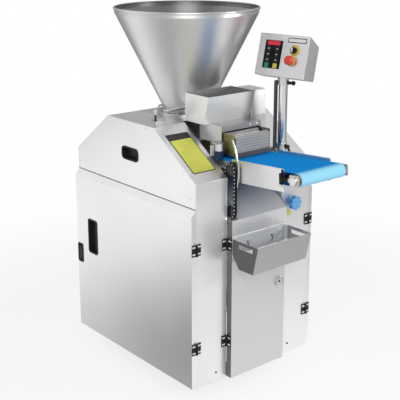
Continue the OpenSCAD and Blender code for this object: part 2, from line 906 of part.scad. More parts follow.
module drum_guard() {
    rib_step = (guard_z1 - guard_z0) / guard_ribs;
    color("silver") {
        slab([-guard_x, guard_y, guard_z0], [guard_x, guard_y + guard_t, guard_axis_z]);
        slab([-guard_x, guard_y, guard_axis_z - guard_t], [guard_x, guard_axis_y, guard_axis_z]);
        for (i = [0 : guard_ribs - 1]) {
            rod_x(guard_rib_r, -guard_x, guard_x, guard_y, guard_z0 + (i + 0.5) * rib_step);
        }
        rod_x(guard_axis_r, -chamber_x - cheek_t, chamber_x + cheek_t, guard_axis_y, guard_axis_z);
    }
}

// Crank drive in the rear: a geared motor, a crank disc and the rod to the piston

crank_drop = 145;
crank_z = piston_z - crank_drop;
crank_throw = 60;
crank_r = 70;
crank_x0 = 26;
crank_t = 16;
crank_pin_r = 9;
rod_x0 = 10;
rod_t = 12;
rod_eye_r = 16;
box_x0 = 46;
box_x1 = 150;
box_dy = 55;
box_over_crank = 41;
box_top_z = crank_z + box_over_crank;
box_foot_t = 12;
motor_r = 48;
motor_len = 230;
motor_fins = 9;
motor_fin_t = 4;
motor_fin_r = 52;
output_r = 15;

module gearmotor() {
    fin_step = motor_len / (motor_fins + 1);
    foot_z = seam_z;
    motor_x = (box_x0 + box_x1) / 2;
    color("slategray") {
        difference() {
            union() {
                slab([box_x0, crank_y - box_dy, foot_z], [box_x1, crank_y + box_dy, box_top_z]);
                slab([box_x0, drive_beam_y0, foot_z], [box_x1, frame_y1, foot_z + box_foot_t]);
            }
            rod_x(output_r + run_gap, box_x0 - overrun, box_x1 - overrun, crank_y, crank_z);
        }
        rod_z(motor_r, foot_z - motor_len, foot_z, motor_x, crank_y);
        for (z = [1 : motor_fins]) {
            rod_z(motor_fin_r, foot_z - z * fin_step, foot_z - z * fin_step + motor_fin_t, motor_x, crank_y);
        }
    }
}

module crank_disc() {
    color("dimgray") {
        rod_x(crank_r, crank_x0, crank_x0 + crank_t, crank_y, crank_z);
        rod_x(output_r, crank_x0, box_x1 - 2 * overrun, crank_y, crank_z);
        rod_x(crank_pin_r, rod_x0, crank_x0, crank_y, crank_z + crank_throw);
    }
}

module connecting_rod() {
    dy = crank_y - crosshead_y;
    pin_z = crank_z + crank_throw;
    dz = pin_z - piston_z;
    color("gray") difference() {
        union() {
            rod_x(rod_eye_r, rod_x0, rod_x0 + rod_t, crosshead_y, piston_z);
            rod_x(rod_eye_r, rod_x0, rod_x0 + rod_t, crank_y, pin_z);
            translate([rod_x0, crosshead_y, piston_z]) rotate([atan2(dz, dy), 0, 0])
                translate([0, 0, -rod_eye_r / 2]) cube([rod_t, norm([dy, dz]), rod_eye_r]);
        }
        rod_x(crank_pin_r + run_gap, rod_x0 - overrun, rod_x0 + rod_t + overrun, crank_y, pin_z);
    }
}

// Drive box of the flour duster, on the right slope beside the flour bin

// Outlines of the flour housing and of the bin on it
flour_in = 46;
flour_over_drum = 18;
flour_d = 140;
flour_lift = 6;
bin_left = 33;
bin_right = 3;
bin_foot_in = 76;
bin_flare = 33;
bin_depth = 122;
bin_rim_h = 120;
flour_x = gap_half - flour_in;
flour_y0 = drum_y - flour_over_drum;
flour_y1 = flour_y0 + flour_d;
flour_z1 = deck_z + flour_lift;
bin_x0 = -flour_x - bin_left;
bin_x1 = flour_x + bin_right;
bin_low_y0 = flour_y0 + bin_foot_in;
bin_rim_y0 = bin_low_y0 - bin_flare;
bin_rim_y1 = bin_low_y0 + bin_depth;
bin_rim_z = flour_z1 + bin_rim_h;

drive_box_gap = 2;
drive_box_w = 88;
drive_box_d = 110;
drive_box_in = 20;
drive_box_below = 8;
drive_knee_up = 12;
drive_box_x0 = bin_x1 + drive_box_gap;
drive_box_x1 = drive_box_x0 + drive_box_w;
drive_box_y1 = bin_rim_y1 - drive_box_in;
drive_box_y0 = drive_box_y1 - drive_box_d;
drive_box_knee = deck_z + drive_knee_up;
drive_box_lean = 8;
drive_box_top = bin_rim_z - drive_box_below;
drive_lid_t = 4;
drive_lid_out = 2;

module duster_drive() {
    color("white") {
        along_x(drive_box_x0, drive_box_x1) polygon([
            [drive_box_y0, slope_z(drive_box_y0) + seat_gap],
            [drive_box_y0, drive_box_knee],
            [drive_box_y0 + drive_box_lean, drive_box_top],
            [drive_box_y1, drive_box_top],
            [drive_box_y1, slope_z(drive_box_y1) + seat_gap]]);
        slab([drive_box_x0, drive_box_y0 + drive_box_lean - drive_lid_out, drive_box_top],
            [drive_box_x1 + drive_lid_out, drive_box_y1 + drive_lid_out, drive_box_top + drive_lid_t]);
    }
}

// Belt unit, drawn level from the nose roller's axis and then sloped down to the rear

belt_out_r = roller_r + belt_gap + belt_t;
belt_w = gap_w - 2 * belt_margin;
nose_y = -overall_l / 2 + belt_out_r;
belt_len = (front_y + belt_in - nose_y) / cos(belt_slope);
nose_z = deck_z - belt_drop + belt_len * sin(belt_slope);
plate_gap = 5;
plate_below = 3;
plate_x = belt_w / 2 + plate_gap;
plate_t = 4;
plate_y0 = 62;
plate_top = belt_out_r - plate_below;
// The plate's open stretch is taller and guides the dough
rail_rise = 14;
rail_drop = 12;
rail_y1 = belt_len - belt_in;
bed_t = 3;
stub_r = 8;
drive_in = 142;
drive_y = belt_len - drive_in;
drive_r = 20;
drive_z = -roller_r + drive_r;
cross_shares = [0.22, 0.6];
cross_r = 7;
lug_in = 90;
lug_y0 = belt_len - lug_in;
lug_l = 60;
lug_t = 6;
bracket_size = 44;
bracket_t = 10;
block_l = 16;
arm_h = 16;

module on_belt_line() {
    translate([0, nose_y, nose_z]) rotate([-belt_slope, 0, 0]) children();
}

module conveyor_frame() {
    color("gainsboro") on_belt_line() {
        both_sides() difference() {
            union() {
                slab([-plate_x - plate_t, plate_y0, plate_top - side_plate_h],
                    [-plate_x, belt_len + roller_r, plate_top]);
                slab([-plate_x - plate_t, plate_y0, plate_top - side_plate_h - rail_drop],
                    [-plate_x, rail_y1, plate_top + rail_rise]);
                // Lug that bolts the plate to the shoulder's inner wall
                slab([-gap_half, lug_y0, -lug_t / 2], [-plate_x, lug_y0 + lug_l, lug_t / 2]);
            }
            rod_x(stub_r + run_gap, -gap_half - overrun, 0, drive_y, drive_z);
            rod_x(stub_r + run_gap, -gap_half - overrun, 0, belt_len, 0);
        }
        slab([-plate_x, plate_y0, roller_r - bed_t - belt_gap],
            [plate_x, belt_len - roller_r - bed_t, roller_r - belt_gap]);
        for (share = cross_shares) {
            rod_x(cross_r, -plate_x, plate_x, plate_y0 + share * (drive_y - plate_y0), 0);
        }
    }
}

// The nose roller's end brackets ride on black blocks that slide along the plates to tension the belt
module tension_blocks() {
    half = bracket_size / 2;
    x_in = plate_x + plate_t;
    color("dimgray") on_belt_line() both_sides() {
        slab([-x_in - bracket_t, plate_y0, -half], [-x_in, plate_y0 + block_l, half]);
        slab([-x_in - bracket_t, half, -arm_h / 2], [-x_in, plate_y0, arm_h / 2]);
        difference() {
            slab([-x_in - bracket_t, -half, -half], [-x_in, half, half]);
            rod_x(stub_r + run_gap, -x_in - bracket_t - overrun, -x_in + overrun, 0, 0);
        }
    }
}

module belt_section(r) {
    circle(r = r);
    translate([belt_len, 0]) circle(r = r);
    translate([0, -r]) square([belt_len, 2 * r]);
}

module conveyor_belt() {
    color("dodgerblue") on_belt_line() along_x(-belt_w / 2, belt_w / 2) difference() {
        belt_section(belt_out_r);
        belt_section(roller_r + belt_gap);
    }
}

cap_r = 16;
cap_t = 6;

module nose_roller() {
    x_out = plate_x + plate_t + bracket_t;
    color("silver") on_belt_line() {
        rod_x(roller_r, -belt_w / 2, belt_w / 2, 0, 0);
        rod_x(stub_r, -x_out, x_out, 0, 0);
        for (x = [-x_out - cap_t, x_out]) rod_x(cap_r, x, x + cap_t, 0, 0);
    }
}

module tail_roller() {
    color("silver") on_belt_line() {
        rod_x(roller_r, -belt_w / 2, belt_w / 2, belt_len, 0);
        rod_x(stub_r, -plate_x - plate_t, plate_x + plate_t, belt_len, 0);
    }
}

// Chain drive at the left of the belt: a jackshaft below, the drive roller above

chain_pitch = 15.875;
sprocket_teeth = 11;
sprocket_r = chain_pitch / (2 * sin(180 / sprocket_teeth));
sprocket_t = 7;
chain_in = 13;
chain_x = -gap_half + chain_in;
chain_w = 10;
link_h = 11;
chain_pin_r = 3;
chain_pin_out = 1.5;
drive_axis = [nose_y + drive_y * cos(belt_slope) + drive_z * sin(belt_slope),
    nose_z - drive_y * sin(belt_slope) + drive_z * cos(belt_slope)];
jack_axis = [jack_y, jack_z];
chain_span = norm(drive_axis - jack_axis);
chain_angle = atan2(drive_axis[1] - jack_axis[1], drive_axis[0] - jack_axis[0]);
chain_half = 2 * chain_span + 2 * PI * sprocket_r;
chain_links = 2 * round(chain_half / chain_pitch / 2);

// Point of the chain's pitch line at a distance along the loop, in the frame of the two axes
function chain_at(s) =
    s < chain_span ? [s, -sprocket_r]
    : s < chain_span + PI * sprocket_r ? let (a = (s - chain_span) / sprocket_r * 180 / PI - 90)
        [chain_span + sprocket_r * cos(a), sprocket_r * sin(a)]
    : s < 2 * chain_span + PI * sprocket_r ? [2 * chain_span + PI * sprocket_r - s, sprocket_r]
    : let (a = (s - 2 * chain_span - PI * sprocket_r) / sprocket_r * 180 / PI + 90)
        [sprocket_r * cos(a), sprocket_r * sin(a)];

module chain_section(r) {
    circle(r = r);
    translate([chain_span, 0]) circle(r = r);
    translate([0, -r]) square([chain_span, 2 * r]);
}

module drive_chain() {
    color("dimgray") translate([chain_x, jack_y, jack_z]) rotate([chain_angle, 0, 0]) {
        along_x(-chain_w / 2, chain_w / 2) difference() {
            chain_section(sprocket_r + link_h / 2);
            chain_section(sprocket_r - link_h / 2);
        }
        for (i = [0 : chain_links - 1]) {
            p = chain_at(i * chain_half / chain_links);
            rod_x(chain_pin_r, -chain_w / 2 - chain_pin_out, chain_w / 2 + chain_pin_out, p[0], p[1]);
        }
    }
}

// The sprockets stay inside the chain band, and their teeth are left to the chain's own pins
module sprocket(axis) {
    rod_x(sprocket_r - link_h / 2 - belt_gap, chain_x - sprocket_t / 2, chain_x + sprocket_t / 2,
        axis[0], axis[1]);
}

module drive_roller() {
    color("dimgray") {
        on_belt_line() {
            rod_x(drive_r - belt_gap, -belt_w / 2, belt_w / 2, drive_y, drive_z);
            rod_x(stub_r, chain_x - sprocket_t / 2, plate_x + plate_t, drive_y, drive_z);
        }
        sprocket(drive_axis);
    }
}

module lower_sprocket() {
    color("dimgray") {
        sprocket(jack_axis);
        rod_x(jack_r, chain_x, jack_x1, jack_y, jack_z);
    }
}

// Chain guard: a thin bowed strip beside the chain, bolted to the belt's left plate

bow_r = 283;
bow_out = 40;
bow_drop = 37;
bow_low = 116;
bow_high = 132;
strip_t = 8;
strip_in = 21;
strip_x = -gap_half + strip_in;

module chain_guard() {
    front = front_y - bow_out;
    bow_y = front + bow_r;
    bow_z = nose_z - bow_drop;
    color("silver") intersection() {
        difference() {
            rod_x(bow_r, strip_x, -plate_x - plate_t, bow_y, bow_z);
            rod_x(bow_r - strip_t, strip_x - overrun, 0, bow_y, bow_z);
        }
        slab([-gap_half, front - overrun, bow_z - bow_low], [0, bow_y, bow_z + bow_high]);
    }
}

// Flour duster: a housing over the drum and an open flared bin

flour_t = 3;
flour_skirt_h = 74;
flour_front_h = 24;
flour_ear_l = 30;
flour_ear_in = 2;
flour_slot = 26;
flour_skirt_z = flour_z1 - flour_skirt_h;
flour_front_z = flour_z1 - flour_front_h;
flour_ear_y1 = flour_y1 - flour_ear_in;
flour_ear_y0 = flour_ear_y1 - flour_ear_l;

module flour_housing() {
    color("lightgray") {
        difference() {
            slab([-flour_x, flour_y0, flour_front_z], [flour_x, flour_y1, flour_z1]);
            slab([-flour_x - overrun, flour_y0 + flour_t, flour_front_z - overrun],
                [flour_x + overrun, flour_y1 + overrun, flour_z1 - flour_t]);
            slab([-flour_x + flour_slot, bin_low_y0 + flour_t, flour_z1 - flour_t - overrun],
                [flour_x - flour_slot, bin_low_y0 + flour_slot, flour_z1 + overrun]);
        }
        both_sides() {
            slab([-flour_x, flour_y0, flour_skirt_z], [-flour_x + flour_t, flour_y1, flour_z1]);
            // Ear that bolts to the shoulder's inner wall
            slab([-gap_half, flour_ear_y0, flour_skirt_z],
                [-flour_x, flour_ear_y1, flour_skirt_z + flour_t]);
        }
        // Bearing tab of the dose knob
        difference() {
            slab([dose_x - dose_knob_r, dose_y - dose_knob_r / 2, dose_tab_z],
                [-flour_x + flour_t, flour_y0 + dose_knob_r, dose_tab_z + flour_t]);
            rod_z(dose_pin_r + run_gap, dose_tab_z - overrun, dose_tab_z + flour_t + overrun,
                dose_x, dose_y);
        }
    }
}

// Side view of the flour bin: a flared front and an upright back
function flour_outline(inset) = let (
    top = bin_rim_z + (inset > 0 ? overrun : 0),
    flare = (bin_low_y0 - bin_rim_y0) / (bin_rim_z - flour_z1)) [
    [bin_low_y0 + inset, flour_z1 + inset],
    [bin_rim_y0 + inset - flare * (top - bin_rim_z), top],
    [bin_rim_y1 - inset, top],
    [bin_rim_y1 - inset, flour_z1 + inset]];

module flour_hopper() {
    color("silver") difference() {
        along_x(bin_x0, bin_x1) polygon(flour_outline(0));
        along_x(bin_x0 + sheet, bin_x1 - sheet) polygon(flour_outline(sheet));
        slab([-flour_x + flour_slot, bin_low_y0 + flour_t, flour_z1 - overrun],
            [flour_x - flour_slot, bin_low_y0 + flour_slot, flour_z1 + sheet + overrun]);
    }
}

// Dose knob: a fluted knob and a collar that hang from the housing's left tab
dose_side = 22;
dose_front = 10;
dose_tab_up = 8;
dose_drop = 60;
dose_x = -flour_x - dose_side;
dose_y = flour_y0 - dose_front;
dose_pin_r = 6;
dose_collar_r = 15;
dose_knob_r = 20;
dose_tab_z = flour_skirt_z + dose_tab_up;
dose_knob_z0 = dose_tab_z - dose_drop;
dose_knob_h = 30;
dose_flute_r = 3;
dose_flutes = 10;

module dose_knob() {
    color("midnightblue") {
        rod_z(dose_pin_r, dose_knob_z0, dose_tab_z + flour_t, dose_x, dose_y);
        rod_z(dose_collar_r, dose_knob_z0 + dose_knob_h, dose_tab_z - belt_gap, dose_x, dose_y);
        difference() {
            rod_z(dose_knob_r, dose_knob_z0, dose_knob_z0 + dose_knob_h, dose_x, dose_y);
            translate([dose_x, dose_y, 0]) for (i = [0 : dose_flutes - 1]) {
                rotate([0, 0, i * 360 / dose_flutes])
                    rod_z(dose_flute_r, dose_knob_z0 - overrun, dose_knob_z0 + dose_knob_h - dose_flute_r,
                        dose_knob_r + dose_flute_r / 2, 0);
            }
        }
    }
}

// Weight knob: a lobed hand knob on the front of the right column, on a threaded stem
weight_x_share = 0.3234;
weight_drop = 70;
weight_x = gap_half + shoulder_w * weight_x_share;
weight_z = seam_z - weight_drop;
weight_lobes = 8;
weight_lobe_r = 8;
weight_hub_r = 24;
weight_t = 22;
weight_stem_r = 9;
weight_stem_l = 16;

module weight_knob() {
    color("cornflowerblue") {
        rod_y(weight_stem_r, front_y - weight_stem_l, front_y - belt_gap, weight_x, weight_z);
        rod_y(weight_hub_r, front_y - weight_stem_l - weight_t, front_y - weight_stem_l, weight_x, weight_z);
        for (i = [0 : weight_lobes - 1]) {
            rod_y(weight_lobe_r, front_y - weight_stem_l - weight_t, front_y - weight_stem_l,
                weight_x + weight_hub_r * cos(i * 360 / weight_lobes),
                weight_z + weight_hub_r * sin(i * 360 / weight_lobes));
        }
    }
}

// Control post on the right slope: a tube in a clamped foot, with two conduits beside it

post_x_share = 0.2814;
post_in = 54;
post_x = gap_half + shoulder_w * post_x_share;
post_y = front_y + post_in;
post_top_z = deck_z + post_h;
foot_r = 26;
foot_h = 46;
foot_base = 8;
sleeve_t = 4;
lever_r = 5;
lever_l = 40;
lever_hub_r = 9;
lever_hub_l = 16;
lever_lean = 150;
lever_z_share = 0.75;
conduit_r = 6;
conduit_gap = 1.5;
conduit_angles = [140, 105];
collar_r = 24;
collar_drop = 28;
panel_lap = 24;
lid_drop = 32;
panel_back_h = panel_h - lid_drop;
face_x = -panel_d / 2;
box_low_z = post_top_z - panel_lap;

// Takes away everything under the right slope
module above_slope() {
    difference() {
        children();
        translate([post_x, post_y, slope_z(post_y)]) rotate([slope_angle, 0, 0])
            slab([-shoulder_w, -shoulder_w, -shoulder_w], [shoulder_w, shoulder_w, seat_gap]);
    }
}

module panel_post() {
    foot_z = slope_z(post_y);
    color("lightgray") above_slope() {
        rod_z(post_r, foot_z - foot_r, post_top_z, post_x, post_y);
        rod_z(post_r + sleeve_t, foot_z - foot_r, foot_z + foot_h, post_x, post_y);
        translate([post_x, post_y, foot_z]) rotate([slope_angle, 0, 0]) cylinder(r = foot_r, h = foot_base);
    }
}

module clamp_lever() {
    z = slope_z(post_y) + foot_h * lever_z_share;
    y1 = post_y - post_r - sleeve_t - belt_gap;
    color("black") {
        rod_y(lever_hub_r, y1 - lever_hub_l, y1, post_x, z);
        translate([post_x, y1 - lever_hub_l + lever_r, z]) rotate([0, lever_lean, 0]) {
            cylinder(r = lever_r, h = lever_l);
        }
    }
}

module conduits() {
    reach = foot_r + conduit_r + conduit_gap;
    tip = box_low_z - reach * sin(panel_tilt) - 2 * conduit_gap;
    color("black") above_slope() for (a = conduit_angles) {
        rod_z(conduit_r, slope_z(post_y) - foot_r, tip, post_x + reach * cos(a), post_y + reach * sin(a));
    }
}

// Control box: a shell with a sloping lid on a collar that turns on the post

module on_panel() {
    translate([post_x, post_y, box_low_z]) rotate([0, 0, panel_yaw]) children();
}

module on_box() {
    on_panel() rotate([0, panel_tilt, 0]) children();
}

// Places a child on the face at shares of its width and height, with +Z out of the face
module on_face(u, v) {
    on_box() translate([face_x, panel_w * (0.5 - u), panel_h * (1 - v)]) rotate([0, -90, 0]) children();
}

stop_uv_shares = [0.69, 0.60];
selector_uv_shares = [0.737, 0.353];
keypad_u_shares = [0.135, 0.478];
keypad_v_shares = [0.155, 0.825];
stop_stem_r = 8;
selector_stem_r = 8;

module box_side(inset) {
    polygon([
        [-panel_d / 2 + inset, inset],
        [panel_d / 2 - inset, inset],
        [panel_d / 2 - inset, panel_back_h - inset],
        [-panel_d / 2 + inset, panel_h - inset]]);
}

module control_box() {
    color("lightgray") difference() {
        union() {
            on_box() translate([0, panel_w / 2, 0]) rotate([90, 0, 0]) linear_extrude(panel_w) box_side(0);
            on_panel() translate([0, 0, -collar_drop]) cylinder(r = collar_r, h = 2 * collar_drop);
        }
        difference() {
            on_box() translate([0, panel_w / 2 - sheet, 0]) rotate([90, 0, 0]) {
                linear_extrude(panel_w - 2 * sheet) box_side(sheet);
            }
            on_panel() translate([0, 0, -collar_drop]) cylinder(r = collar_r, h = 2 * collar_drop);
        }
        on_panel() translate([0, 0, -collar_drop - overrun]) cylinder(r = post_r + run_gap, h = panel_h / 2);
        on_face(stop_uv_shares[0], stop_uv_shares[1]) translate([0, 0, -sheet - overrun]) {
            cylinder(r = stop_stem_r + run_gap, h = sheet + 2 * overrun);
        }
        on_face(selector_uv_shares[0], selector_uv_shares[1]) translate([0, 0, -sheet - overrun]) {
            cylinder(r = selector_stem_r + run_gap, h = sheet + 2 * overrun);
        }
    }
}

keypad_t = 2;
key_rows = 4;
key_cols = 2;
key_size = 22;
key_t = 1;
display_h_share = 0.2;

module keypad() {
    w = panel_w * (keypad_u_shares[1] - keypad_u_shares[0]);
    h = panel_h * (keypad_v_shares[1] - keypad_v_shares[0]);
    u = (keypad_u_shares[0] + keypad_u_shares[1]) / 2;
    v = (keypad_v_shares[0] + keypad_v_shares[1]) / 2;
    row = h * (1 - display_h_share) / key_rows;
    col = w / key_cols;
    color("black") on_face(u, v) {
        slab([-h / 2, -w / 2, 0], [h / 2, w / 2, keypad_t]);
        for (i = [0 : key_rows - 1], j = [0 : key_cols - 1]) {
            translate([-h / 2 + (i + 0.5) * row, -w / 2 + (j + 0.5) * col, keypad_t + key_t / 2])
                cube([key_size, key_size, key_t], center = true);
        }
    }
}

// Room under the selector for its yellow plate
selector_lift = 2;
selector_r = 13;
selector_t = 12;
selector_bar_w = 8;
selector_bar_h = 12;
stem_in = 18;

module selector() {
    color("black") on_face(selector_uv_shares[0], selector_uv_shares[1]) {
        translate([0, 0, -stem_in]) cylinder(r = selector_stem_r, h = stem_in + selector_t);
        translate([0, 0, selector_lift]) cylinder(r = selector_r, h = selector_t);
        translate([-selector_r, -selector_bar_w / 2, selector_t])
            cube([2 * selector_r, selector_bar_w, selector_bar_h]);
    }
}

stop_r = 20;
stop_head_t = 12;
stop_rim_share = 0.6;
stop_top_share = 0.7;
stop_neck_l = 14;

module stop_button() {
    color("red") on_face(stop_uv_shares[0], stop_uv_shares[1]) {
        translate([0, 0, -stem_in]) cylinder(r = stop_stem_r, h = stem_in + stop_neck_l);
        translate([0, 0, stop_neck_l]) cylinder(r = stop_r, h = stop_head_t * stop_rim_share);
        translate([0, 0, stop_neck_l + stop_head_t * stop_rim_share])
            cylinder(r1 = stop_r, r2 = stop_r * stop_top_share, h = stop_head_t * (1 - stop_rim_share));
    }
}

ball_r = 10;
ball_drop = 18;
ball_hub_r = 7;
ball_hub_l = 12;
ball_arm_r = 4;
ball_arm_l = 16;
ball_lean = 17;

module ball_lever() {
    color("black") on_panel() translate([0, -collar_r - belt_gap, -ball_drop]) rotate([90, 0, 0]) {
        cylinder(r = ball_hub_r, h = ball_hub_l);
        translate([0, 0, ball_hub_l - ball_arm_r]) rotate([0, ball_lean, 0]) {
            cylinder(r = ball_arm_r, h = ball_arm_l);
            translate([0, 0, ball_arm_l]) sphere(r = ball_r);
        }
    }
}

// Castors: two swivel in front, two fixed behind

front_castor_in = 28;
front_castor_x = gap_half - front_castor_in;
rear_castor_x = half_w - castor_in;
castor_y0 = front_y + castor_in;
castor_y1 = back_y - castor_in;
castor_plate = 84;
castor_edge = 5;
castor_plate_t = 5;
castor_head_r = 26;
castor_head_h = 10;
castor_trail = 20;
fork_t = 5;
fork_gap = 3;
axle_r = 5;
spindle_r = 7;
fork_top_z = skirt_z - castor_plate_t - castor_head_h - free_gap;
fork_w = 34;

// A fork that hangs under its head at the origin, with the axle behind it
module fork() {
    x_in = wheel_w / 2 + fork_gap;
    slab([-x_in - fork_t, -fork_w / 2, fork_top_z - fork_t],
        [x_in + fork_t, castor_trail + fork_w / 2, fork_top_z]);
    for (x = [-x_in - fork_t, x_in]) {
        slab([x, castor_trail - fork_w / 2, wheel_r], [x + fork_t, castor_trail + fork_w / 2, fork_top_z]);
        rod_x(fork_w / 2, x, x + fork_t, castor_trail, wheel_r);
    }
    rod_x(axle_r, -x_in, x_in, castor_trail, wheel_r);
}

module wheel() {
    difference() {
        rod_x(wheel_r, -wheel_w / 2, wheel_w / 2, castor_trail, wheel_r);
        rod_x(axle_r + run_gap, -wheel_w, wheel_w, castor_trail, wheel_r);
    }
}

module castor_plates() {
    x_out = frame_x - castor_edge;
    half = castor_plate / 2;
    color("gray") both_sides() {
        slab([-x_out, frame_y0 + castor_edge, skirt_z - castor_plate_t],
            [-front_castor_x + half, castor_y0 + half, skirt_z]);
        slab([-x_out, castor_y1 - half, skirt_z - castor_plate_t],
            [-rear_castor_x + half, frame_y1 - castor_edge, skirt_z]);
        translate([-front_castor_x, castor_y0, 0]) difference() {
            rod_z(castor_head_r, fork_top_z + free_gap, skirt_z - castor_plate_t, 0, 0);
            rod_z(spindle_r + run_gap, fork_top_z - overrun, skirt_z - castor_plate_t, 0, 0);
        }
        translate([-rear_castor_x, castor_y1, 0]) {
            rod_z(castor_head_r, fork_top_z, skirt_z - castor_plate_t, 0, 0);
            fork();
        }
    }
}

module swivel_fork() {
    fork();
    rod_z(spindle_r, fork_top_z - fork_t, skirt_z - castor_plate_t - free_gap, 0, 0);
}

module front_left_fork() {
    color("gray") translate([-front_castor_x, castor_y0, 0]) swivel_fork();
}

module front_right_fork() {
    color("gray") translate([front_castor_x, castor_y0, 0]) swivel_fork();
}

module front_left_wheel() {
    color("dimgray") translate([-front_castor_x, castor_y0, 0]) wheel();
}

module front_right_wheel() {
    color("dimgray") translate([front_castor_x, castor_y0, 0]) wheel();
}

module rear_wheels() {
    color("dimgray") for (x = [-rear_castor_x, rear_castor_x]) translate([x, castor_y1, 0]) wheel();
}

base_frame();
front_columns();
left_shoulder();
right_shoulder();
center_cover();
rear_panel();
mains_gland();
chute();
shoulder_grips();
fixed_hinge_leaves();
hopper_bracket();
dough_chamber();
drum_cheeks();
gearmotor();
duster_drive();
conveyor_frame();
tension_blocks();
conveyor_belt();
drive_chain();
chain_guard();
flour_housing();
flour_hopper();
panel_post();
conduits();
castor_plates();
left_door();
left_door_fittings();
left_latch();
right_door();
right_door_fittings();
right_latch();
front_door();
front_door_fittings();
front_lock();
catch_bin();
hopper();
drum_guard();
measuring_drum();
measuring_pistons();
suction_piston();
knife();
crank_disc();
connecting_rod();
nose_roller();
tail_roller();
drive_roller();
lower_sprocket();
clamp_lever();
control_box();
keypad();
selector();
stop_button();
ball_lever();
weight_knob();
dose_knob();
front_left_fork();
front_right_fork();
front_left_wheel();
front_right_wheel();
rear_wheels();
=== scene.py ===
import math

import bmesh
import bpy
from mathutils import Matrix, Vector


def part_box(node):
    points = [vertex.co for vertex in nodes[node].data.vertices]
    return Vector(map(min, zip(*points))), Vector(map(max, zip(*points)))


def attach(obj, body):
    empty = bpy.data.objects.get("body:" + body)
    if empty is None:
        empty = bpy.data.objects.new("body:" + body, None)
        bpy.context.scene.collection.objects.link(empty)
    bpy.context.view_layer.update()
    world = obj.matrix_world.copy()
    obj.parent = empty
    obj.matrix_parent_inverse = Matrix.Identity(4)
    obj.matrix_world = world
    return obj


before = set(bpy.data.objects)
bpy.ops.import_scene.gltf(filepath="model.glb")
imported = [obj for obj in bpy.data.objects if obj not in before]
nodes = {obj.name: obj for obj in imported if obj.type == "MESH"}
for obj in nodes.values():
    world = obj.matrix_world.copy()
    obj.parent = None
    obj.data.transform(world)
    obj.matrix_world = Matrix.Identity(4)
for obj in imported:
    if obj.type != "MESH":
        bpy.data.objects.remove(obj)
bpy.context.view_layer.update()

# Directions as seen by someone who faces the front, where the belt comes out
RIGHT, LEFT = (1, 0, 0), (-1, 0, 0)
FRONT, BACK = (0, -1, 0), (0, 1, 0)
UP = (0, 0, 1)
SIDES = (-1, 1)


def middle(node):
    """The centre of a CAD node's box."""
    return sum(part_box(node), Vector()) / 2


# Places taken from the CAD, in metres
columns_low, columns_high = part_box("front_columns")
front_y = columns_low[1]
half_w = columns_high[0]
slope_foot_z = columns_high[2]
deck_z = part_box("left_shoulder")[1][2]
back_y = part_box("rear_panel")[1][1]
door_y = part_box("front_door")[0][1]
guard_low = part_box("drum_guard")[0]
cheeks_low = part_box("drum_cheeks")[0]
bin_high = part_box("catch_bin")[1]
chute_low, chute_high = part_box("chute")
dose_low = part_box("dose_knob")[0]
flour_low, flour_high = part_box("flour_hopper")
housing_low, housing_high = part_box("flour_housing")
lock_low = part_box("front_lock")[0]
nose = middle("nose_roller")

# Sizes shared with the CAD
slope_run = 0.277
slope = math.atan((deck_z - slope_foot_z) / slope_run)
panel_foot = Vector((0.205, -0.186, 1.361))
panel_yaw, panel_tilt = math.radians(11), math.radians(15)
panel_w, panel_h, panel_d = 0.250, 0.180, 0.080
plate_x = 0.132
hinge_out, leaf_t = 0.006, 0.004
dose_grip = 0.0302
lock_head_r = 0.014
lock = Vector((middle("front_lock")[0], lock_low[1], lock_low[2] + lock_head_r))


# Node helpers

def tree_of(name):
    """A new material, its node tree and its main shader."""
    mat = bpy.data.materials.new(name)
    mat.use_nodes = True
    return mat, mat.node_tree, mat.node_tree.nodes["Principled BSDF"]


def add(tree, kind, **values):
    made = tree.nodes.new(kind)
    for key, value in values.items():
        setattr(made, key, value)
    return made


def feed(tree, socket, value):
    """Links an output to a socket, or sets a constant on it."""
    if isinstance(value, bpy.types.NodeSocket):
        tree.links.new(value, socket)
    else:
        socket.default_value = value


def math_node(tree, operation, a, b, kind="ShaderNodeMath", output="Value"):
    made = add(tree, kind, operation=operation)
    feed(tree, made.inputs[0], a)
    feed(tree, made.inputs[1], b)
    return made.outputs[output]


def vector_node(tree, operation, a, b, output="Vector"):
    return math_node(tree, operation, a, b, "ShaderNodeVectorMath", output)


def dot(tree, a, b):
    return vector_node(tree, "DOT_PRODUCT", a, b, "Value")


def distance(tree, a, b):
    return vector_node(tree, "DISTANCE", a, b, "Value")


def place_on(tree):
    """Places on the object, which move with it."""
    return add(tree, "ShaderNodeTexCoord").outputs["Object"]


def facing(tree):
    """The way that a face looks, which turns with the object."""
    return add(tree, "ShaderNodeTexCoord").outputs["Normal"]


def along(tree, way):
    """How far a place on the object lies along a direction."""
    return dot(tree, place_on(tree), way)


def noise(tree, scale, stretch=(1, 1, 1), detail=2.0):
    mapping = add(tree, "ShaderNodeMapping")
    feed(tree, mapping.inputs["Vector"], place_on(tree))
    feed(tree, mapping.inputs["Scale"], stretch)
    texture = add(tree, "ShaderNodeTexNoise")
    feed(tree, texture.inputs["Vector"], mapping.outputs["Vector"])
    feed(tree, texture.inputs["Scale"], scale)
    feed(tree, texture.inputs["Detail"], detail)
    return texture.outputs["Fac"]


def ranged(tree, value, start, end, low=0.0, high=1.0):
    """Maps start..end to low..high, clamped and eased."""
    made = add(tree, "ShaderNodeMapRange", interpolation_type="SMOOTHSTEP")
    given = {"Value": value, "From Min": start, "From Max": end, "To Min": low, "To Max": high}
    for key, number in given.items():
        feed(tree, made.inputs[key], number)
    return made.outputs["Result"]


def spread(tree, fac, low=0.0, high=1.0):
    """Spreads the middle of a noise, where most of it lies, over low..high."""
    return ranged(tree, fac, start=0.3, end=0.7, low=low, high=high)


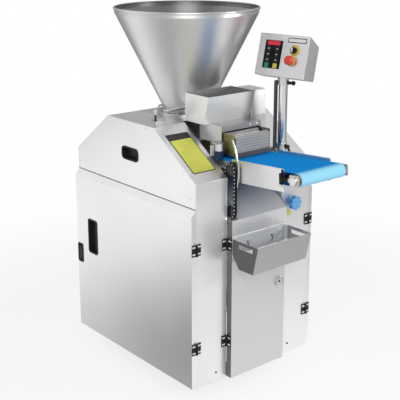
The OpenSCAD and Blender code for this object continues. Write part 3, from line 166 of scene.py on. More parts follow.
def blend(tree, fac, low, high):
    """Mixes two colours, each a constant or an output: low where fac is 0, high where it is 1."""
    mix = add(tree, "ShaderNodeMix", data_type="RGBA")
    feed(tree, mix.inputs["Factor"], fac)
    for key, colour in (("A", low), ("B", high)):
        linked = isinstance(colour, bpy.types.NodeSocket)
        feed(tree, mix.inputs[key], colour if linked else (*colour, 1))
    return mix.outputs["Result"]


def clouded(tree, bsdf, tone, scale, share):
    """Lets a colour stray softly by a share of itself to either side."""
    dark = tuple(c * (1 - share) for c in tone)
    light = tuple(min(1.0, c * (1 + share)) for c in tone)
    cloud = spread(tree, noise(tree, scale))
    feed(tree, bsdf.inputs["Base Color"], blend(tree, cloud, dark, light))


def roughened(tree, bsdf, fac, rough, share):
    """Lets the roughness stray by a share of itself to either side."""
    low, high = rough * (1 - share), min(1.0, rough * (1 + share))
    feed(tree, bsdf.inputs["Roughness"], spread(tree, fac, low, high))


def surface(tree, bsdf, height, strength, edge=0.0):
    """Gives a surface its fine relief, and rounds its edges where edge isn't 0."""
    bump = add(tree, "ShaderNodeBump")
    bump.inputs["Strength"].default_value = strength
    bump.inputs["Distance"].default_value = 0.0004
    feed(tree, bump.inputs["Height"], height)
    if edge:
        bevel = add(tree, "ShaderNodeBevel", samples=4)
        bevel.inputs["Radius"].default_value = edge
        feed(tree, bump.inputs["Normal"], bevel.outputs["Normal"])
    feed(tree, bsdf.inputs["Normal"], bump.outputs["Normal"])


# Materials

ALONG_X, ALONG_Y, ALONG_Z = (1, 50, 50), (50, 1, 50), (50, 50, 1)
EVEN, IN_RINGS = (12, 12, 12), (0.6, 0.6, 45)
SATIN = 0.31
METAL_BUMP, METAL_EDGE = 0.006, 0.0012
BLACK = (0.018, 0.018, 0.019)
TYRE, HUB = (0.12, 0.12, 0.125), (0.42, 0.42, 0.43)


def grey(level):
    return (level, level, level)


def metal(name, tone, rough, grain, strength=METAL_BUMP, edge=METAL_EDGE, metallic=1.0):
    """Steel with a fine grain, along one axis, in rings or even."""
    mat, tree, bsdf = tree_of(name)
    lines = noise(tree, scale=6.0, stretch=grain, detail=6.0)
    clouded(tree, bsdf, tone, scale=1.7, share=0.04)
    roughened(tree, bsdf, lines, rough, share=0.06)
    bsdf.inputs["Metallic"].default_value = metallic
    surface(tree, bsdf, lines, strength, edge)
    return mat


def moulded(name, tone, rough, edge=0.0008, gloss=0.5):
    """Plastic or paint with a fine pebble; also the dark strip of painted shade under the drum's guard."""
    mat, tree, bsdf = tree_of(name)
    grain = noise(tree, scale=220.0, detail=3.0)
    clouded(tree, bsdf, tone, scale=9.0, share=0.10)
    roughened(tree, bsdf, grain, rough, share=0.15)
    bsdf.inputs["Specular IOR Level"].default_value = gloss
    surface(tree, bsdf, grain, strength=0.1, edge=edge)
    return mat


def two_tone(name, axes_used, centre, limit, inner, outer, rough, metallic):
    """Two tones by the distance from a point, over the axes that are 1, such as a hub in its tyre."""
    mat, tree, bsdf = tree_of(name)
    from_centre = vector_node(tree, "SUBTRACT", place_on(tree), centre)
    flat = vector_node(tree, "MULTIPLY", from_centre, axes_used)
    over = math_node(tree, "GREATER_THAN", distance(tree, flat, (0, 0, 0)), limit)
    feed(tree, bsdf.inputs["Base Color"], blend(tree, over, inner, outer))
    grain = noise(tree, scale=90.0, detail=3.0)
    roughened(tree, bsdf, grain, rough, share=0.08)
    bsdf.inputs["Metallic"].default_value = metallic
    surface(tree, bsdf, grain, METAL_BUMP, METAL_EDGE)
    return mat


def banded(name, dark, light, scale, depth, rough):
    """Bands along Z: the ribs of a conduit."""
    mat, tree, bsdf = tree_of(name)
    wave = add(tree, "ShaderNodeTexWave", bands_direction="Z")
    wave.inputs["Scale"].default_value = scale
    feed(tree, wave.inputs["Vector"], place_on(tree))
    feed(tree, bsdf.inputs["Base Color"], blend(tree, wave.outputs["Fac"], dark, light))
    bsdf.inputs["Roughness"].default_value = rough
    surface(tree, bsdf, wave.outputs["Fac"], depth)
    return mat


def glowing(name, dark, light, strength):
    """A lit window with fine rows."""
    mat = banded(name, dark, light, scale=260.0, depth=0.05, rough=0.15)
    bsdf = mat.node_tree.nodes["Principled BSDF"]
    colour = bsdf.inputs["Base Color"].links[0].from_socket
    feed(mat.node_tree, bsdf.inputs["Emission Color"], colour)
    bsdf.inputs["Emission Strength"].default_value = strength
    return mat


def with_painted_shade(mat, share, tone):
    """Paints shade onto a surface: a darker tone where share is 0, and its own tone where share is 1."""
    base = mat.node_tree.nodes["Principled BSDF"].inputs["Base Color"]
    own = base.links[0].from_socket
    feed(mat.node_tree, base, blend(mat.node_tree, share, tone, own))
    return mat


def turned_to(tree, way):
    """1 on faces turned within 60 degrees of a direction, else 0."""
    cosine_of_60 = 0.5
    return math_node(tree, "GREATER_THAN", dot(tree, facing(tree), way), cosine_of_60)


def turned_off(tree, way):
    """0 on faces turned within 60 degrees of a direction, else 1."""
    return math_node(tree, "SUBTRACT", 1.0, turned_to(tree, way))


def turned_out(tree, centre):
    """1 on the walls that face away from an upright line through a point, 0 on those that face it."""
    outwards = vector_node(tree, "SUBTRACT", place_on(tree), centre)
    level = vector_node(tree, "MULTIPLY", outwards, (1, 1, 0))
    return math_node(tree, "GREATER_THAN", dot(tree, level, facing(tree)), 0.0)


def door_metal():
    """The front door's sheet, bright above the bin, with painted shade below the bin's rim and darker painted
    shade along its hinge side.
    """
    mat = metal("sheet_door", tone=grey(0.98), rough=SATIN, grain=ALONG_Z, metallic=0.6)
    tree = mat.node_tree
    fade = 0.05
    above_bin = ranged(tree, along(tree, UP), start=bin_high[2] - fade, end=bin_high[2])
    with_painted_shade(mat, above_bin, tone=(0.68, 0.68, 0.685))
    return with_painted_shade(mat, turned_off(tree, LEFT), tone=(0.20, 0.20, 0.205))


def housing_metal():
    """The flour housing's sheet, in its own tone on its left side, with painted shade in front and darker
    painted shade on top.
    """
    mat = metal("sheet_housing", tone=(0.93, 0.94, 1.0), rough=0.34, grain=ALONG_X, metallic=0.5)
    tree = mat.node_tree
    with_painted_shade(mat, turned_to(tree, LEFT), tone=(0.38, 0.37, 0.395))
    return with_painted_shade(mat, turned_off(tree, UP), tone=(0.26, 0.255, 0.265))


def chute_metal():
    """The chute's sheet, with painted shade under the belt: darkest at its top left and fading towards its
    foot.
    """
    mat = metal("sheet_chute", tone=(0.62, 0.60, 0.575), rough=0.45, grain=ALONG_Y, metallic=0.1)
    tree = mat.node_tree
    lean = 0.35
    top_left = lean * chute_low[0] - chute_high[1]
    right_foot = lean * chute_high[0] - chute_low[1]
    # Painted shade under the belt: darkest at the top left, none at the right foot
    wear_and_shade = ranged(tree, along(tree, (lean, -1.0, 0)), start=top_left, end=right_foot)
    return with_painted_shade(mat, wear_and_shade, tone=(0.085, 0.082, 0.078))


def bin_metal():
    """The catch bin, with painted light and shade: bright on its back wall, darker elsewhere, and darkest
    outside on its left wall.
    """
    back_t = 0.012
    mat = two_tone("bin", axes_used=BACK, centre=bin_high, limit=back_t,
                   inner=grey(0.92), outer=grey(0.42), rough=0.36, metallic=0.5)
    tree = mat.node_tree
    right_half = math_node(tree, "GREATER_THAN", along(tree, RIGHT), 0.0)
    own = math_node(tree, "MAXIMUM", turned_off(tree, LEFT), right_half)
    return with_painted_shade(mat, own, tone=grey(0.15))


def spun_metal():
    """A funnel spun about its axis: bright rings outside, and painted shade on its inside."""
    mat = metal("spun", tone=(0.80, 0.795, 0.79), rough=0.42, grain=IN_RINGS)
    tree = mat.node_tree
    bsdf = tree.nodes["Principled BSDF"]
    bsdf.inputs["Anisotropic"].default_value = 0.7
    bsdf.inputs["Anisotropic Rotation"].default_value = 0.25
    tangent = add(tree, "ShaderNodeTangent", direction_type="RADIAL", axis="Z")
    feed(tree, bsdf.inputs["Tangent"], tangent.outputs["Tangent"])
    return with_painted_shade(mat, turned_out(tree, middle("hopper")), tone=(0.34, 0.335, 0.33))


def flour_metal():
    """The flour bin's sheet, bright outside, with painted shade towards its right end and on its inside."""
    mat = metal("sheet_flour", tone=(0.97, 0.96, 0.94), rough=0.33, grain=ALONG_Z, metallic=0.5)
    tree = mat.node_tree
    fade, end_share = 0.06, 0.2
    right_end = flour_high[0]
    own = ranged(tree, along(tree, RIGHT), start=right_end - fade, end=right_end, low=1.0, high=end_share)
    with_painted_shade(mat, own, tone=grey(0.22))
    return with_painted_shade(mat, turned_out(tree, middle("flour_hopper")), tone=grey(0.36))


def belt_material():
    """Woven blue belt with faint wear along its run, and a painted highlight that makes it paler over the
    nose.
    """
    mat, tree, bsdf = tree_of("belt")
    weave = add(tree, "ShaderNodeTexChecker")
    weave.inputs["Scale"].default_value = 900.0
    weave.inputs["Color1"].default_value = (0.010, 0.300, 0.820, 1)
    weave.inputs["Color2"].default_value = (0.014, 0.320, 0.860, 1)
    feed(tree, weave.inputs["Vector"], place_on(tree))
    most_wear_share = 0.08
    wear = spread(tree, noise(tree, scale=12.0, stretch=(6, 1, 1), detail=5.0), high=most_wear_share)
    wear_and_shade = blend(tree, wear, weave.outputs["Color"], (0.06, 0.38, 0.88))
    # Painted highlight: the belt turns paler where it bends over the nose roller
    before_nose, past_nose = 0.0227, 0.0173
    nose_highlight = ranged(tree, along(tree, FRONT), start=-nose[1] - before_nose, end=-nose[1] + past_nose)
    feed(tree, bsdf.inputs["Base Color"], blend(tree, nose_highlight, wear_and_shade, (0.34, 0.74, 0.95)))
    bsdf.inputs["Roughness"].default_value = 0.36
    bsdf.inputs["Specular IOR Level"].default_value = 0.0
    surface(tree, bsdf, weave.outputs["Fac"], strength=0.1)
    return mat


# The sheet tones differ from part to part to stand in for how light falls on each: painted light and shade,
# as lit and shaded copies of one steel
metals = {
    "sheet_side": dict(tone=(0.91, 0.91, 0.915), rough=SATIN, grain=ALONG_Y),
    "sheet_front": dict(tone=(0.83, 0.83, 0.835), rough=SATIN, grain=ALONG_Z),
    "sheet_column": dict(tone=(0.90, 0.90, 0.905), rough=SATIN, grain=ALONG_Z, metallic=0.6),
    "sheet_top": dict(tone=(0.78, 0.78, 0.785), rough=SATIN, grain=ALONG_X),
    "sheet_cover": dict(tone=(0.80, 0.81, 0.83), rough=0.45, grain=ALONG_X, metallic=0.2),
    "sheet_box": dict(tone=(0.84, 0.84, 0.85), rough=0.32, grain=ALONG_Z),
    "sheet_guard": dict(tone=(0.40, 0.385, 0.38), rough=0.50, grain=ALONG_X, metallic=0.3),
    "turned": dict(tone=(0.74, 0.73, 0.72), rough=0.22, grain=ALONG_X),
    "bracket": dict(tone=(0.46, 0.455, 0.45), rough=SATIN, grain=ALONG_X),
    "chrome": dict(tone=(0.88, 0.88, 0.89), rough=0.16, grain=EVEN, strength=0.003),
    "plated": dict(tone=(0.50, 0.50, 0.51), rough=0.42, grain=EVEN),
    "dark_steel": dict(tone=(0.10, 0.10, 0.105), rough=0.40, grain=EVEN),
    "screw": dict(tone=grey(0.90), rough=0.45, grain=EVEN, metallic=0.6),
}
plastics = {
    "motor": dict(tone=(0.23, 0.28, 0.33), rough=0.5, edge=0.002),
    "black": dict(tone=BLACK, rough=0.45, gloss=0.25),
    "membrane": dict(tone=(0.010, 0.010, 0.011), rough=0.5, gloss=0.12),
    # Painted shade: the dark strip under the drum's guard
    "painted_gap_shade": dict(tone=(0.085, 0.083, 0.085), rough=0.7, gloss=0.3),
    "light_blue": dict(tone=(0.15, 0.47, 0.85), rough=0.28, edge=0.0015),
    "red": dict(tone=(0.84, 0.055, 0.045), rough=0.25, edge=0.003),
    "acetal": dict(tone=(0.86, 0.86, 0.82), rough=0.45),
    "yellow": dict(tone=(0.66, 0.67, 0.12), rough=0.5, gloss=0.25),
    "signal_yellow": dict(tone=(0.68, 0.46, 0.07), rough=0.4),
    "plate_black": dict(tone=(0.035, 0.032, 0.04), rough=0.45, gloss=0.3),
    "key_grey": dict(tone=(0.030, 0.031, 0.034), rough=0.5, gloss=0.15),
    "key_green": dict(tone=(0.015, 0.26, 0.17), rough=0.4),
    "key_yellow": dict(tone=(0.68, 0.58, 0.08), rough=0.4),
    "white": dict(tone=grey(0.80), rough=0.4),
}

# Two tones on one node: the chain's plates and pin ends, the left and the right cheek, the dose knob and
# its collar, the lock's core and head, the nose brackets and their blocks, the wheels' hubs and tyres
half_chain_w, lock_core_r, nose_reach, hub_r = 0.0052, 0.006, 0.03, 0.026
wheel_look = dict(axes_used=(0, 1, 1), limit=hub_r, inner=HUB, outer=TYRE, rough=0.6, metallic=0.0)
two_tones = {
    "chain": dict(axes_used=RIGHT, centre=middle("drive_chain"), limit=half_chain_w,
                  inner=BLACK, outer=(0.75, 0.74, 0.72), rough=0.35, metallic=0.8),
    "cheeks": dict(axes_used=RIGHT, centre=cheeks_low, limit=-cheeks_low[0],
                   inner=(0.34, 0.32, 0.16), outer=(0.16, 0.16, 0.165), rough=0.42, metallic=1.0),
    "dose": dict(axes_used=UP, centre=dose_low, limit=dose_grip,
                 inner=(0.012, 0.030, 0.085), outer=(0.80, 0.82, 0.85), rough=0.34, metallic=0.2),
    "lock": dict(axes_used=(1, 0, 1), centre=lock, limit=lock_core_r,
                 inner=BLACK, outer=grey(0.90), rough=0.34, metallic=0.6),
    "blocks": dict(axes_used=BACK, centre=nose, limit=nose_reach,
                   inner=(0.62, 0.60, 0.56), outer=BLACK, rough=0.34, metallic=0.9),
    "wheel_front": dict(centre=middle("front_left_wheel"), **wheel_look),
    "wheel_rear": dict(centre=middle("rear_wheels"), **wheel_look),
}

mats = {name: metal(name, **values) for name, values in metals.items()}
mats.update({name: moulded(name, **values) for name, values in plastics.items()})
mats.update({name: two_tone(name, **values) for name, values in two_tones.items()})
mats.update({
    "sheet_door": door_metal(),
    "sheet_housing": housing_metal(),
    "sheet_flour": flour_metal(),
    "sheet_chute": chute_metal(),
    "bin": bin_metal(),
    "spun": spun_metal(),
    "belt": belt_material(),
    # The conduit's dark and light bands, spaced like its ribs, are painted shade and highlight on them
    "conduit": banded("conduit", dark=(0.025, 0.025, 0.027), light=(0.085, 0.085, 0.090),
                      scale=70.0, depth=0.9, rough=0.38),
    "display": glowing("display", dark=(0.40, 0.010, 0.035), light=(0.55, 0.014, 0.05), strength=0.45),
})

finish = {
    "sheet_side": ["left_shoulder", "right_shoulder", "left_door", "right_door", "duster_drive"],
    "sheet_column": ["front_columns"],
    "sheet_front": ["rear_panel", "conveyor_frame", "chain_guard"],
    "sheet_flour": ["flour_hopper"],
    "sheet_housing": ["flour_housing"],
    "sheet_door": ["front_door"],
    "sheet_top": ["center_cover"],
    "sheet_chute": ["chute"],
    "bin": ["catch_bin"],
    "sheet_box": ["control_box"],
    "sheet_guard": ["drum_guard"],
    "spun": ["hopper"],
    "turned": ["nose_roller", "tail_roller", "suction_piston", "knife", "measuring_drum"],
    "bracket": ["hopper_bracket"],
    "lock": ["front_lock"],
    "chrome": ["panel_post"],
    "plated": ["base_frame", "castor_plates", "front_left_fork", "front_right_fork", "dough_chamber"],
    "cheeks": ["drum_cheeks"],
    "dark_steel": ["crank_disc", "connecting_rod", "drive_roller", "lower_sprocket"],
    "motor": ["gearmotor"],
    "black": ["shoulder_grips", "fixed_hinge_leaves", "left_door_fittings", "right_door_fittings",
              "front_door_fittings", "left_latch", "right_latch", "mains_gland", "clamp_lever", "selector",
              "ball_lever"],
    "membrane": ["keypad"],
    "blocks": ["tension_blocks"],
    "conduit": ["conduits"],
    "belt": ["conveyor_belt"],
    "chain": ["drive_chain"],
    "light_blue": ["weight_knob"],
    "dose": ["dose_knob"],
    "red": ["stop_button"],
    "acetal": ["measuring_pistons"],
    "wheel_front": ["front_left_wheel", "front_right_wheel"],
    "wheel_rear": ["rear_wheels"],
}
for key, names in finish.items():
    for name in names:
        nodes[name].data.materials.clear()
        nodes[name].data.materials.append(mats[key])


# Shapes of the added pieces

def placed(name, data):
    """A new object in the scene."""
    obj = bpy.data.objects.new(name, data)
    bpy.context.scene.collection.objects.link(obj)
    return obj


def make(name, mesh, key, body):
    """Puts a piece in the scene, with its material and its body."""
    obj = placed(name, mesh)
    mesh.materials.append(mats[key])
    bpy.context.view_layer.update()
    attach(obj, body)


def finish_mesh(bm, name):
    """A mesh that is smooth where its faces meet gently."""
    bmesh.ops.recalc_face_normals(bm, faces=bm.faces)
    mesh = bpy.data.meshes.new(name)
    bm.to_mesh(mesh)
    bm.free()
    mesh.shade_smooth()
    mesh.set_sharp_from_angle(angle=math.radians(35))
    return mesh


def lathe(bm, place, profile, steps=24):
    """Turns a profile of (radius, height) points about a place's z axis."""
    rings = []
    for r, z in profile:
        turns = (2 * math.pi * i / steps for i in range(steps))
        points = [(0, 0, z)] if r == 0 else [(r * math.cos(t), r * math.sin(t), z) for t in turns]
        rings.append([bm.verts.new(place @ Vector(point)) for point in points])
    for a, b in zip(rings, rings[1:]):
        for i in range(steps):
            j = (i + 1) % steps
            if len(a) == 1:
                bm.faces.new((a[0], b[j], b[i]))
            elif len(b) == 1:
                bm.faces.new((a[i], a[j], b[0]))
            else:
                bm.faces.new((a[i], a[j], b[j], b[i]))


def screws(name, places, head, body, key="screw"):
    """Domed heads of a radius and a height, each with a round socket."""
    sunk = 0.0002
    head_shares = [(1, 0.45), (0.86, 0.8), (0.62, 1), (0.40, 1), (0.36, 0.45), (0, 0.45)]
    r, h = head
    profile = [(0, -sunk), (r, -sunk)] + [(r_share * r, h_share * h) for r_share, h_share in head_shares]
    bm = bmesh.new()
    for place in places:
        lathe(bm, place, profile)
    make(name, finish_mesh(bm, name), key, body)


def ring(name, place, inner, outer, t, body, key):
    """A flat ring with a soft outer edge."""
    wall_share, soft_share = 0.7, 0.5
    outside = [(outer, 0), (outer, wall_share * t), (outer - soft_share * t, t)]
    bm = bmesh.new()
    lathe(bm, place, [(inner, 0), *outside, (inner, t), (inner, 0)], steps=48)
    make(name, finish_mesh(bm, name), key, body)


def rounded(w, h, r, steps=6):
    """The outline of a rectangle with round corners."""
    points = []
    for sx, sy, start in ((1, 1, 0), (-1, 1, 90), (-1, -1, 180), (1, -1, 270)):
        for i in range(steps + 1):
            t = math.radians(start + 90 * i / steps)
            points.append((sx * (w / 2 - r) + r * math.cos(t), sy * (h / 2 - r) + r * math.sin(t)))
    return points


def plates(name, pads, body, key):
    """Thin pads with rounded corners and a soft edge: (place, width, height, corner, thickness)."""
    soft_share, most_soft, least_corner = 0.35, 0.0006, 0.0002
    bm = bmesh.new()
    for place, w, h, corner, t in pads:
        soft = min(soft_share * t, most_soft)
        rings = []
        for z, grow in ((0, 0), (t - soft, 0), (t, -soft)):
            outline = rounded(w + 2 * grow, h + 2 * grow, max(corner + grow, least_corner))
            rings.append([bm.verts.new(place @ Vector((x, y, z))) for x, y in outline])
        count = len(rings[0])
        for a, b in zip(rings, rings[1:]):
            for i in range(count):
                j = (i + 1) % count
                bm.faces.new((a[i], a[j], b[j], b[i]))
        bm.faces.new(rings[-1])
        bm.faces.new(list(reversed(rings[0])))
    make(name, finish_mesh(bm, name), key, body)


# Frames on the machine's faces

def axes(origin, across, out):
    """A frame with x across and z out of the face."""
    z = Vector(out).normalized()
    x = (Vector(across) - z * Vector(across).dot(z)).normalized()
    y = z.cross(x)
    grid = Matrix((x, y, z)).transposed().to_4x4()
    return Matrix.Translation(Vector(origin)) @ grid


def on_box(x, y, z):
    """A point in the frame of the control box, which stands turned and tilted on its post."""
    turn = Matrix.Rotation(panel_yaw, 4, "Z") @ Matrix.Rotation(panel_tilt, 4, "Y")
    return panel_foot + turn @ Vector((x, y, z))


def on_face(u, v, out=0.0):
    """The control box's face at shares of its width and height: x to the right, y up, z out."""
    origin = on_box(-panel_d / 2 - out, panel_w * (0.5 - u), panel_h * (1 - v))
    return axes(origin, on_box(*FRONT) - on_box(0, 0, 0), on_box(*LEFT) - on_box(0, 0, 0))


def on_side(side, y, z, x=half_w):
    return axes((side * x, y, z), (0, side, 0), (side, 0, 0))


def on_front(x, z, y=front_y):
    return axes((x, y, z), RIGHT, FRONT)


def on_back(x, z):
    return axes((x, back_y, z), LEFT, BACK)


def on_slope(x, y):
    z = slope_foot_z + (y - front_y) * math.tan(slope)
    return axes((x, y, z), RIGHT, (0, -math.sin(slope), math.cos(slope)))


def lifted(place, x, y, z):
    return place @ Matrix.Translation((x, y, z))


# Notice plate on the left slope, left blank
notice_x, notice_y = -0.240, -0.101
notice_w, notice_l, notice_corner, notice_t = 0.118, 0.226, 0.004, 0.0010
notice_head, notice_rim = 0.036, 0.004
field_w, field_l = notice_w - 2 * notice_rim, notice_l - notice_head - notice_rim
field_corner, film_t = 0.002, 0.0004
notice = on_slope(notice_x, notice_y)
field = lifted(notice, 0, (notice_rim - notice_head) / 2, notice_t)
plates("notice_base", [(notice, notice_w, notice_l, notice_corner, notice_t)],
       "cabinet", "plate_black")
plates("notice_field", [(field, field_w, field_l, field_corner, film_t)],
       "cabinet", "yellow")

# Screw heads along the edges of both shoulders: (y, z)
sheet_head = (0.0042, 0.0026)
edge_screws = [(0.408, 1.135), (0.330, 1.163), (0.087, 1.166), (0.008, 1.138),
               (0.569, 1.019), (0.612, 0.927), (-0.154, 1.024), (-0.205, 0.932)]
on_shoulders = [on_side(side, y, z) for side in SIDES for y, z in edge_screws]
screws("shoulder_screws", on_shoulders, sheet_head, "cabinet")

# Screw heads in the leaves of the hinges
leaf_head = (0.0040, 0.0016)
side_hinge_zs, front_hinge_zs = (0.283, 0.720), (0.274, 0.711)
hole_offs, hole_rises = (0.0104, 0.0184), (-0.015, 0.015)
leaf_y, hinge_y = front_y - leaf_t, front_y - hinge_out
front_axis_x, front_leaf_x = -0.162, 0.160


def leaf_holes(hinge_zs):
    """The holes of a leaf on each hinge: how far from the hinge's axis, and at what height."""
    return [(off, z + rise) for z in hinge_zs for off in hole_offs for rise in hole_rises]


side_holes, front_holes = leaf_holes(side_hinge_zs), leaf_holes(front_hinge_zs)
fixed = [on_front(side * (half_w - off), z, leaf_y) for side in SIDES for off, z in side_holes]
fixed += [on_front(front_axis_x - off, z, leaf_y) for off, z in front_holes]
screws("fixed_leaf_screws", fixed, leaf_head, "cabinet")
for side, body in zip(SIDES, ("left_door_leaf", "right_door_leaf")):
    moving = [on_front(side * (half_w + off), z, leaf_y) for off, z in side_holes]
    screws(f"{body}_screws", moving, leaf_head, body)
moving = [on_side(-1, hinge_y - off, z, front_leaf_x) for off, z in front_holes]
screws("front_leaf_screws", moving, leaf_head, "front_door_leaf")

# Screw heads on the flour unit
housing_head = (0.0048, 0.0030)
housing_screw_xs, housing_screw_drop, housing_screw_back = (0.050, 0.088), 0.012, 0.020
housing_screw_y, housing_screw_z = housing_low[1] + housing_screw_back, housing_high[2] - housing_screw_drop
on_housing = [on_front(x, housing_screw_z, housing_screw_y) for x in housing_screw_xs]
screws("housing_screws", on_housing, housing_head, "cabinet")
flour_screw_inset, flour_screw_rise = 0.030, 0.020
on_flour_bin = on_side(-1, flour_high[1] - flour_screw_inset, flour_low[2] + flour_screw_rise, -flour_low[0])
screws("flour_bin_screws", [on_flour_bin], sheet_head, "cabinet")

# Screw heads at the feet of the columns and on the back
column_head, column_screw_inset, column_screw_rise = (0.0045, 0.0024), 0.110, 0.040
column_screw_x, column_screw_z = half_w - column_screw_inset, columns_low[2] + column_screw_rise
on_columns = [on_front(side * column_screw_x, column_screw_z) for side in SIDES]
screws("column_screws", on_columns, column_head, "cabinet", "black")
back_head, back_screw_inset = (0.0050, 0.0010), 0.020
back_screw_zs = (0.12, 0.40, 0.68, 0.97)
over_back = [on_back(side * (half_w - back_screw_inset), z) for side in SIDES for z in back_screw_zs]
screws("back_screws", over_back, back_head, "cabinet")

# Rosette round the front lock
rosette_r, rosette_t, rosette_gap = 0.0215, 0.0018, 0.0006
ring("lock_rosette", on_front(lock[0], lock[2], door_y), lock_head_r + rosette_gap, rosette_r, rosette_t,
     "front_door_leaf", "turned")

# Belt unit: bolts at the ends of its side plates, and slots there drawn as black pads of painted shade
plate_end, slot_rise, bolt_drop = 0.070, 0.024, 0.030
slot_w, slot_h, slot_corner, slot_t = 0.014, 0.016, 0.002, 0.0006
bolt_head = (0.0085, 0.0045)
plate_end_y = nose[1] + plate_end
slots = [on_side(side, plate_end_y, nose[2] + slot_rise, plate_x) for side in SIDES]
bolts = [on_side(side, plate_end_y, nose[2] - bolt_drop, plate_x) for side in SIDES]
plates("plate_slots", [(slot, slot_w, slot_h, slot_corner, slot_t) for slot in slots],
       "cabinet", "black")
screws("plate_bolts", bolts, bolt_head, "cabinet")

# Dark strip along the foot of the drum's guard: painted shade for the shadowed gap under it
gap_shade_w, gap_shade_h, gap_shade_corner, gap_shade_t = 0.186, 0.020, 0.001, 0.0025
gap_shade_rise = 0.001
gap_shade = on_front(0, guard_low[2] + gap_shade_rise + gap_shade_h / 2, guard_low[1])
plates("guard_gap_shade", [(gap_shade, gap_shade_w, gap_shade_h, gap_shade_corner, gap_shade_t)], "guard", "painted_gap_shade")

# Cover behind the dose knob, between the left shoulder and the drum
cover_x, cover_y = -0.131, -0.130
cover_w, cover_h, cover_corner, cover_t = 0.052, 0.048, 0.003, 0.0015
cover = on_front(cover_x, housing_low[2] - cover_h / 2, cover_y)
plates("drum_side_cover", [(cover, cover_w, cover_h, cover_corner, cover_t)],
       "cabinet", "sheet_cover")

# Control box: screws and a blank name plate
control_head = (0.0040, 0.0022)
control_screw_shares = [(0.055, 0.075), (0.49, 0.065), (0.055, 0.925), (0.945, 0.925)]
screws("control_screws", [on_face(u, v) for u, v in control_screw_shares], control_head, "panel")
name_shares = (0.76, 0.120)
name_w, name_h, name_corner, name_t = 0.092, 0.021, 0.002, 0.0008
name_rim, name_field_corner = 0.0035, 0.001
name_field_w, name_field_h = name_w - 2 * name_rim, name_h - 2 * name_rim
plates("name_plate", [(on_face(*name_shares), name_w, name_h, name_corner, name_t)],
       "panel", "plate_black")
plates("name_field", [(on_face(*name_shares, name_t), name_field_w, name_field_h, name_field_corner, film_t)],
       "panel", "screw")

# Control box: yellow rings round the two switches, and a white mark on the selector
selector_shares, stop_shares = (0.737, 0.353), (0.69, 0.60)
shaft_r = 0.0085
selector_ring_r, selector_ring_t = 0.0235, 0.0016
stop_ring_r, stop_ring_t = 0.0222, 0.0022
ring("selector_ring", on_face(*selector_shares), shaft_r, selector_ring_r, selector_ring_t,
     "panel", "signal_yellow")
ring("stop_ring", on_face(*stop_shares), shaft_r, stop_ring_r, stop_ring_t,
     "panel", "signal_yellow")
mark_out = 0.0240
mark_w, mark_l, mark_corner, mark_t = 0.0060, 0.020, 0.0012, 0.0008
plates("selector_mark", [(on_face(*selector_shares, mark_out), mark_w, mark_l, mark_corner, mark_t)],
       "mode_switch", "white")

# Control box: caps with blank marks on the keys, coloured in the lowest row, and the display
pad_u_shares, pad_v_shares = (0.135, 0.478), (0.155, 0.825)
pad_t, key_t = 0.002, 0.001
pad_w = panel_w * (pad_u_shares[1] - pad_u_shares[0])
pad_h = panel_h * (pad_v_shares[1] - pad_v_shares[0])
pad = on_face(sum(pad_u_shares) / 2, sum(pad_v_shares) / 2, pad_t)
rows, cols, display_share = 4, 2, 0.2
row_h, col_w = pad_h * (1 - display_share) / rows, pad_w / cols
cap, cap_corner, cap_t = 0.021, 0.003, 0.0006
lowest_keys = ("key_green", "key_yellow")
caps = {"key_grey": [], "key_green": [], "key_yellow": []}
for row in range(rows):
    for col in range(cols):
        key = "key_grey" if row else lowest_keys[col]
        at = lifted(pad, (col + 0.5) * col_w - pad_w / 2, (row + 0.5) * row_h - pad_h / 2, key_t)
        caps[key].append((at, cap, cap, cap_corner, cap_t))
for key, pads in caps.items():
    plates(f"caps_{key}", pads, "panel", key)
sign_w, sign_h, sign_corner, sign_t = 0.009, 0.003, 0.0012, 0.0003
signs = [lifted(grey_cap[0], 0, 0, cap_t) for grey_cap in caps["key_grey"]]
plates("key_marks", [(sign, sign_w, sign_h, sign_corner, sign_t) for sign in signs],
       "panel", "white")
window_w_share, window_h_share = 0.75, 0.15
window_corner, window_t = 0.002, 0.0008
window = lifted(pad, 0, pad_h * (1 - display_share) / 2, 0)
plates("display_window", [(window, pad_w * window_w_share, pad_h * window_h_share, window_corner, window_t)],
       "panel", "display")

# Blank sticker under the weight knob
sticker_x, sticker_z, sticker_w, sticker_corner = 0.204, 0.772, 0.024, 0.006
sticker = on_front(sticker_x, sticker_z)
plates("sticker", [(sticker, sticker_w, sticker_w, sticker_corner, film_t)],
       "cabinet", "yellow")


# Floor, light and camera

def reflected(tree, rays):
    """1 for rays that come by way of a mirror or glass."""
    return math_node(tree, "MAXIMUM", rays.outputs["Is Glossy Ray"], rays.outputs["Is Transmission Ray"])


def mirrored_floor(tree, here):
    """The floor's tone in reflections, with painted shade: it dims beside, in front of and far behind the
    object.
    """
    by_left_door, by_right_door, far_behind = (-1.2, -0.1, 0), (1.7, 0, 0), (0.6, 0.8, 0)
    rightwards = dot(tree, here, RIGHT)
    # Painted shadow of the object beside its left door
    left = ranged(tree, distance(tree, here, by_left_door), start=0.3, end=1.9, low=0.30)
    tone = math_node(tree, "MAXIMUM", left, ranged(tree, rightwards, start=-0.55, end=-0.20))
    fades = [
        ranged(tree, distance(tree, here, by_right_door), start=0.5, end=1.3, low=0.40),
        ranged(tree, dot(tree, here, FRONT), start=0.4, end=2.2, low=1.0, high=0.72),
        ranged(tree, rightwards, start=0.3, end=4.0, low=1.0, high=0.45),
        ranged(tree, dot(tree, here, far_behind), start=1.5, end=3.0, low=1.0, high=0.30),
    ]
    for fade in fades:
        tone = math_node(tree, "MULTIPLY", tone, fade)
    return tone


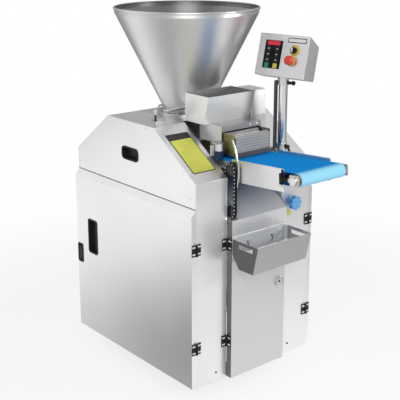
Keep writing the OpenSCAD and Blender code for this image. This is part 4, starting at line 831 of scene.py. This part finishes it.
def floor_material():
    """White to the eye with a soft shadow, graded with painted shade in reflections, and plain grey in
    bounced light.
    """
    mat, tree, bsdf = tree_of("floor")
    tree.nodes.remove(bsdf)
    mat.cycles.emission_sampling = "NONE"
    here = place_on(tree)
    rays = add(tree, "ShaderNodeLightPath")
    direct = rays.outputs["Is Camera Ray"]
    tone = math_node(tree, "MAXIMUM", mirrored_floor(tree, here), direct)
    glow_share = ranged(tree, distance(tree, here, (0, 0, 0)), start=1.2, end=3.0, low=0.80)
    lit_share = math_node(tree, "SUBTRACT", 1.0, glow_share)
    glow = add(tree, "ShaderNodeEmission")
    feed(tree, glow.inputs["Strength"], math_node(tree, "MULTIPLY", tone, glow_share))
    lit = add(tree, "ShaderNodeBsdfDiffuse")
    feed(tree, lit.inputs["Color"], math_node(tree, "MULTIPLY", tone, lit_share))
    both = add(tree, "ShaderNodeAddShader")
    feed(tree, both.inputs[0], glow.outputs["Emission"])
    feed(tree, both.inputs[1], lit.outputs["BSDF"])
    plain = add(tree, "ShaderNodeBsdfDiffuse")
    feed(tree, plain.inputs["Color"], blend(tree, noise(tree, scale=0.6), grey(0.80), grey(0.83)))
    mix = add(tree, "ShaderNodeMixShader")
    feed(tree, mix.inputs["Fac"], math_node(tree, "MAXIMUM", direct, reflected(tree, rays)))
    feed(tree, mix.inputs[1], plain.outputs["BSDF"])
    feed(tree, mix.inputs[2], both.outputs["Shader"])
    feed(tree, tree.nodes["Material Output"].inputs["Surface"], mix.outputs["Shader"])
    return mat


def floor():
    bm = bmesh.new()
    bmesh.ops.create_grid(bm, x_segments=2, y_segments=2, size=14)
    mesh = bpy.data.meshes.new("floor")
    bm.to_mesh(mesh)
    bm.free()
    mesh.materials.append(floor_material())
    obj = placed("floor", mesh)


def studio():
    """A plain pale room, white behind the object; metal mirrors its ceiling and its brighter left wall."""
    plain = 0.42
    to_ceiling, to_left_wall = (0.60, 0, 0.80), (-0.55, 0.65, 0.52)
    world = bpy.data.worlds.new("studio")
    bpy.context.scene.world = world
    world.use_nodes = True
    tree = world.node_tree
    back = tree.nodes["Background"]
    way = add(tree, "ShaderNodeTexCoord").outputs["Generated"]
    above = ranged(tree, dot(tree, way, to_ceiling), start=0.35, end=0.95, low=0.30, high=0.64)
    left = ranged(tree, dot(tree, way, to_left_wall), start=0.65, end=0.92, high=0.60)
    rays = add(tree, "ShaderNodeLightPath")
    graded = math_node(tree, "SUBTRACT", math_node(tree, "ADD", above, left), plain)
    mirrored = math_node(tree, "MULTIPLY", reflected(tree, rays), graded)
    tone = math_node(tree, "ADD", plain, mirrored)
    tone = math_node(tree, "MAXIMUM", tone, rays.outputs["Is Camera Ray"])
    feed(tree, back.inputs["Strength"], tone)
    back.inputs["Color"].default_value = (1, 1, 1, 1)


def area(name, place, aim, size, power):
    light = bpy.data.lights.new(name, "AREA")
    light.shape = "RECTANGLE"
    light.size, light.size_y = size
    light.energy = power
    obj = placed(name, light)
    obj.location = place
    obj.rotation_euler = (Vector(aim) - Vector(place)).to_track_quat("-Z", "Y").to_euler()


def camera():
    """The view of the photograph."""
    data = bpy.data.cameras.new("camera")
    data.sensor_width = 36
    data.lens = 80.2
    data.shift_y = -0.0915
    yaw, pitch = 0.6944, 0.2597
    level = math.cos(pitch)
    forward = Vector((math.sin(yaw) * level, math.cos(yaw) * level, -math.sin(pitch)))
    obj = placed("camera", data)
    obj.location = (-2.4827, -2.8564, 1.9858)
    obj.rotation_euler = forward.to_track_quat("-Z", "Y").to_euler()
    bpy.context.scene.camera = obj


floor()
studio()
area("key", place=(-2.6, -3.0, 3.4), aim=(0, 0, 0.9), size=(2.4, 2.4), power=86)
area("front", place=(1.9, -2.9, 1.75), aim=(0, -0.5, 1.0), size=(1.4, 0.5), power=32)
camera()
bpy.context.scene.view_settings.view_transform = "Standard"
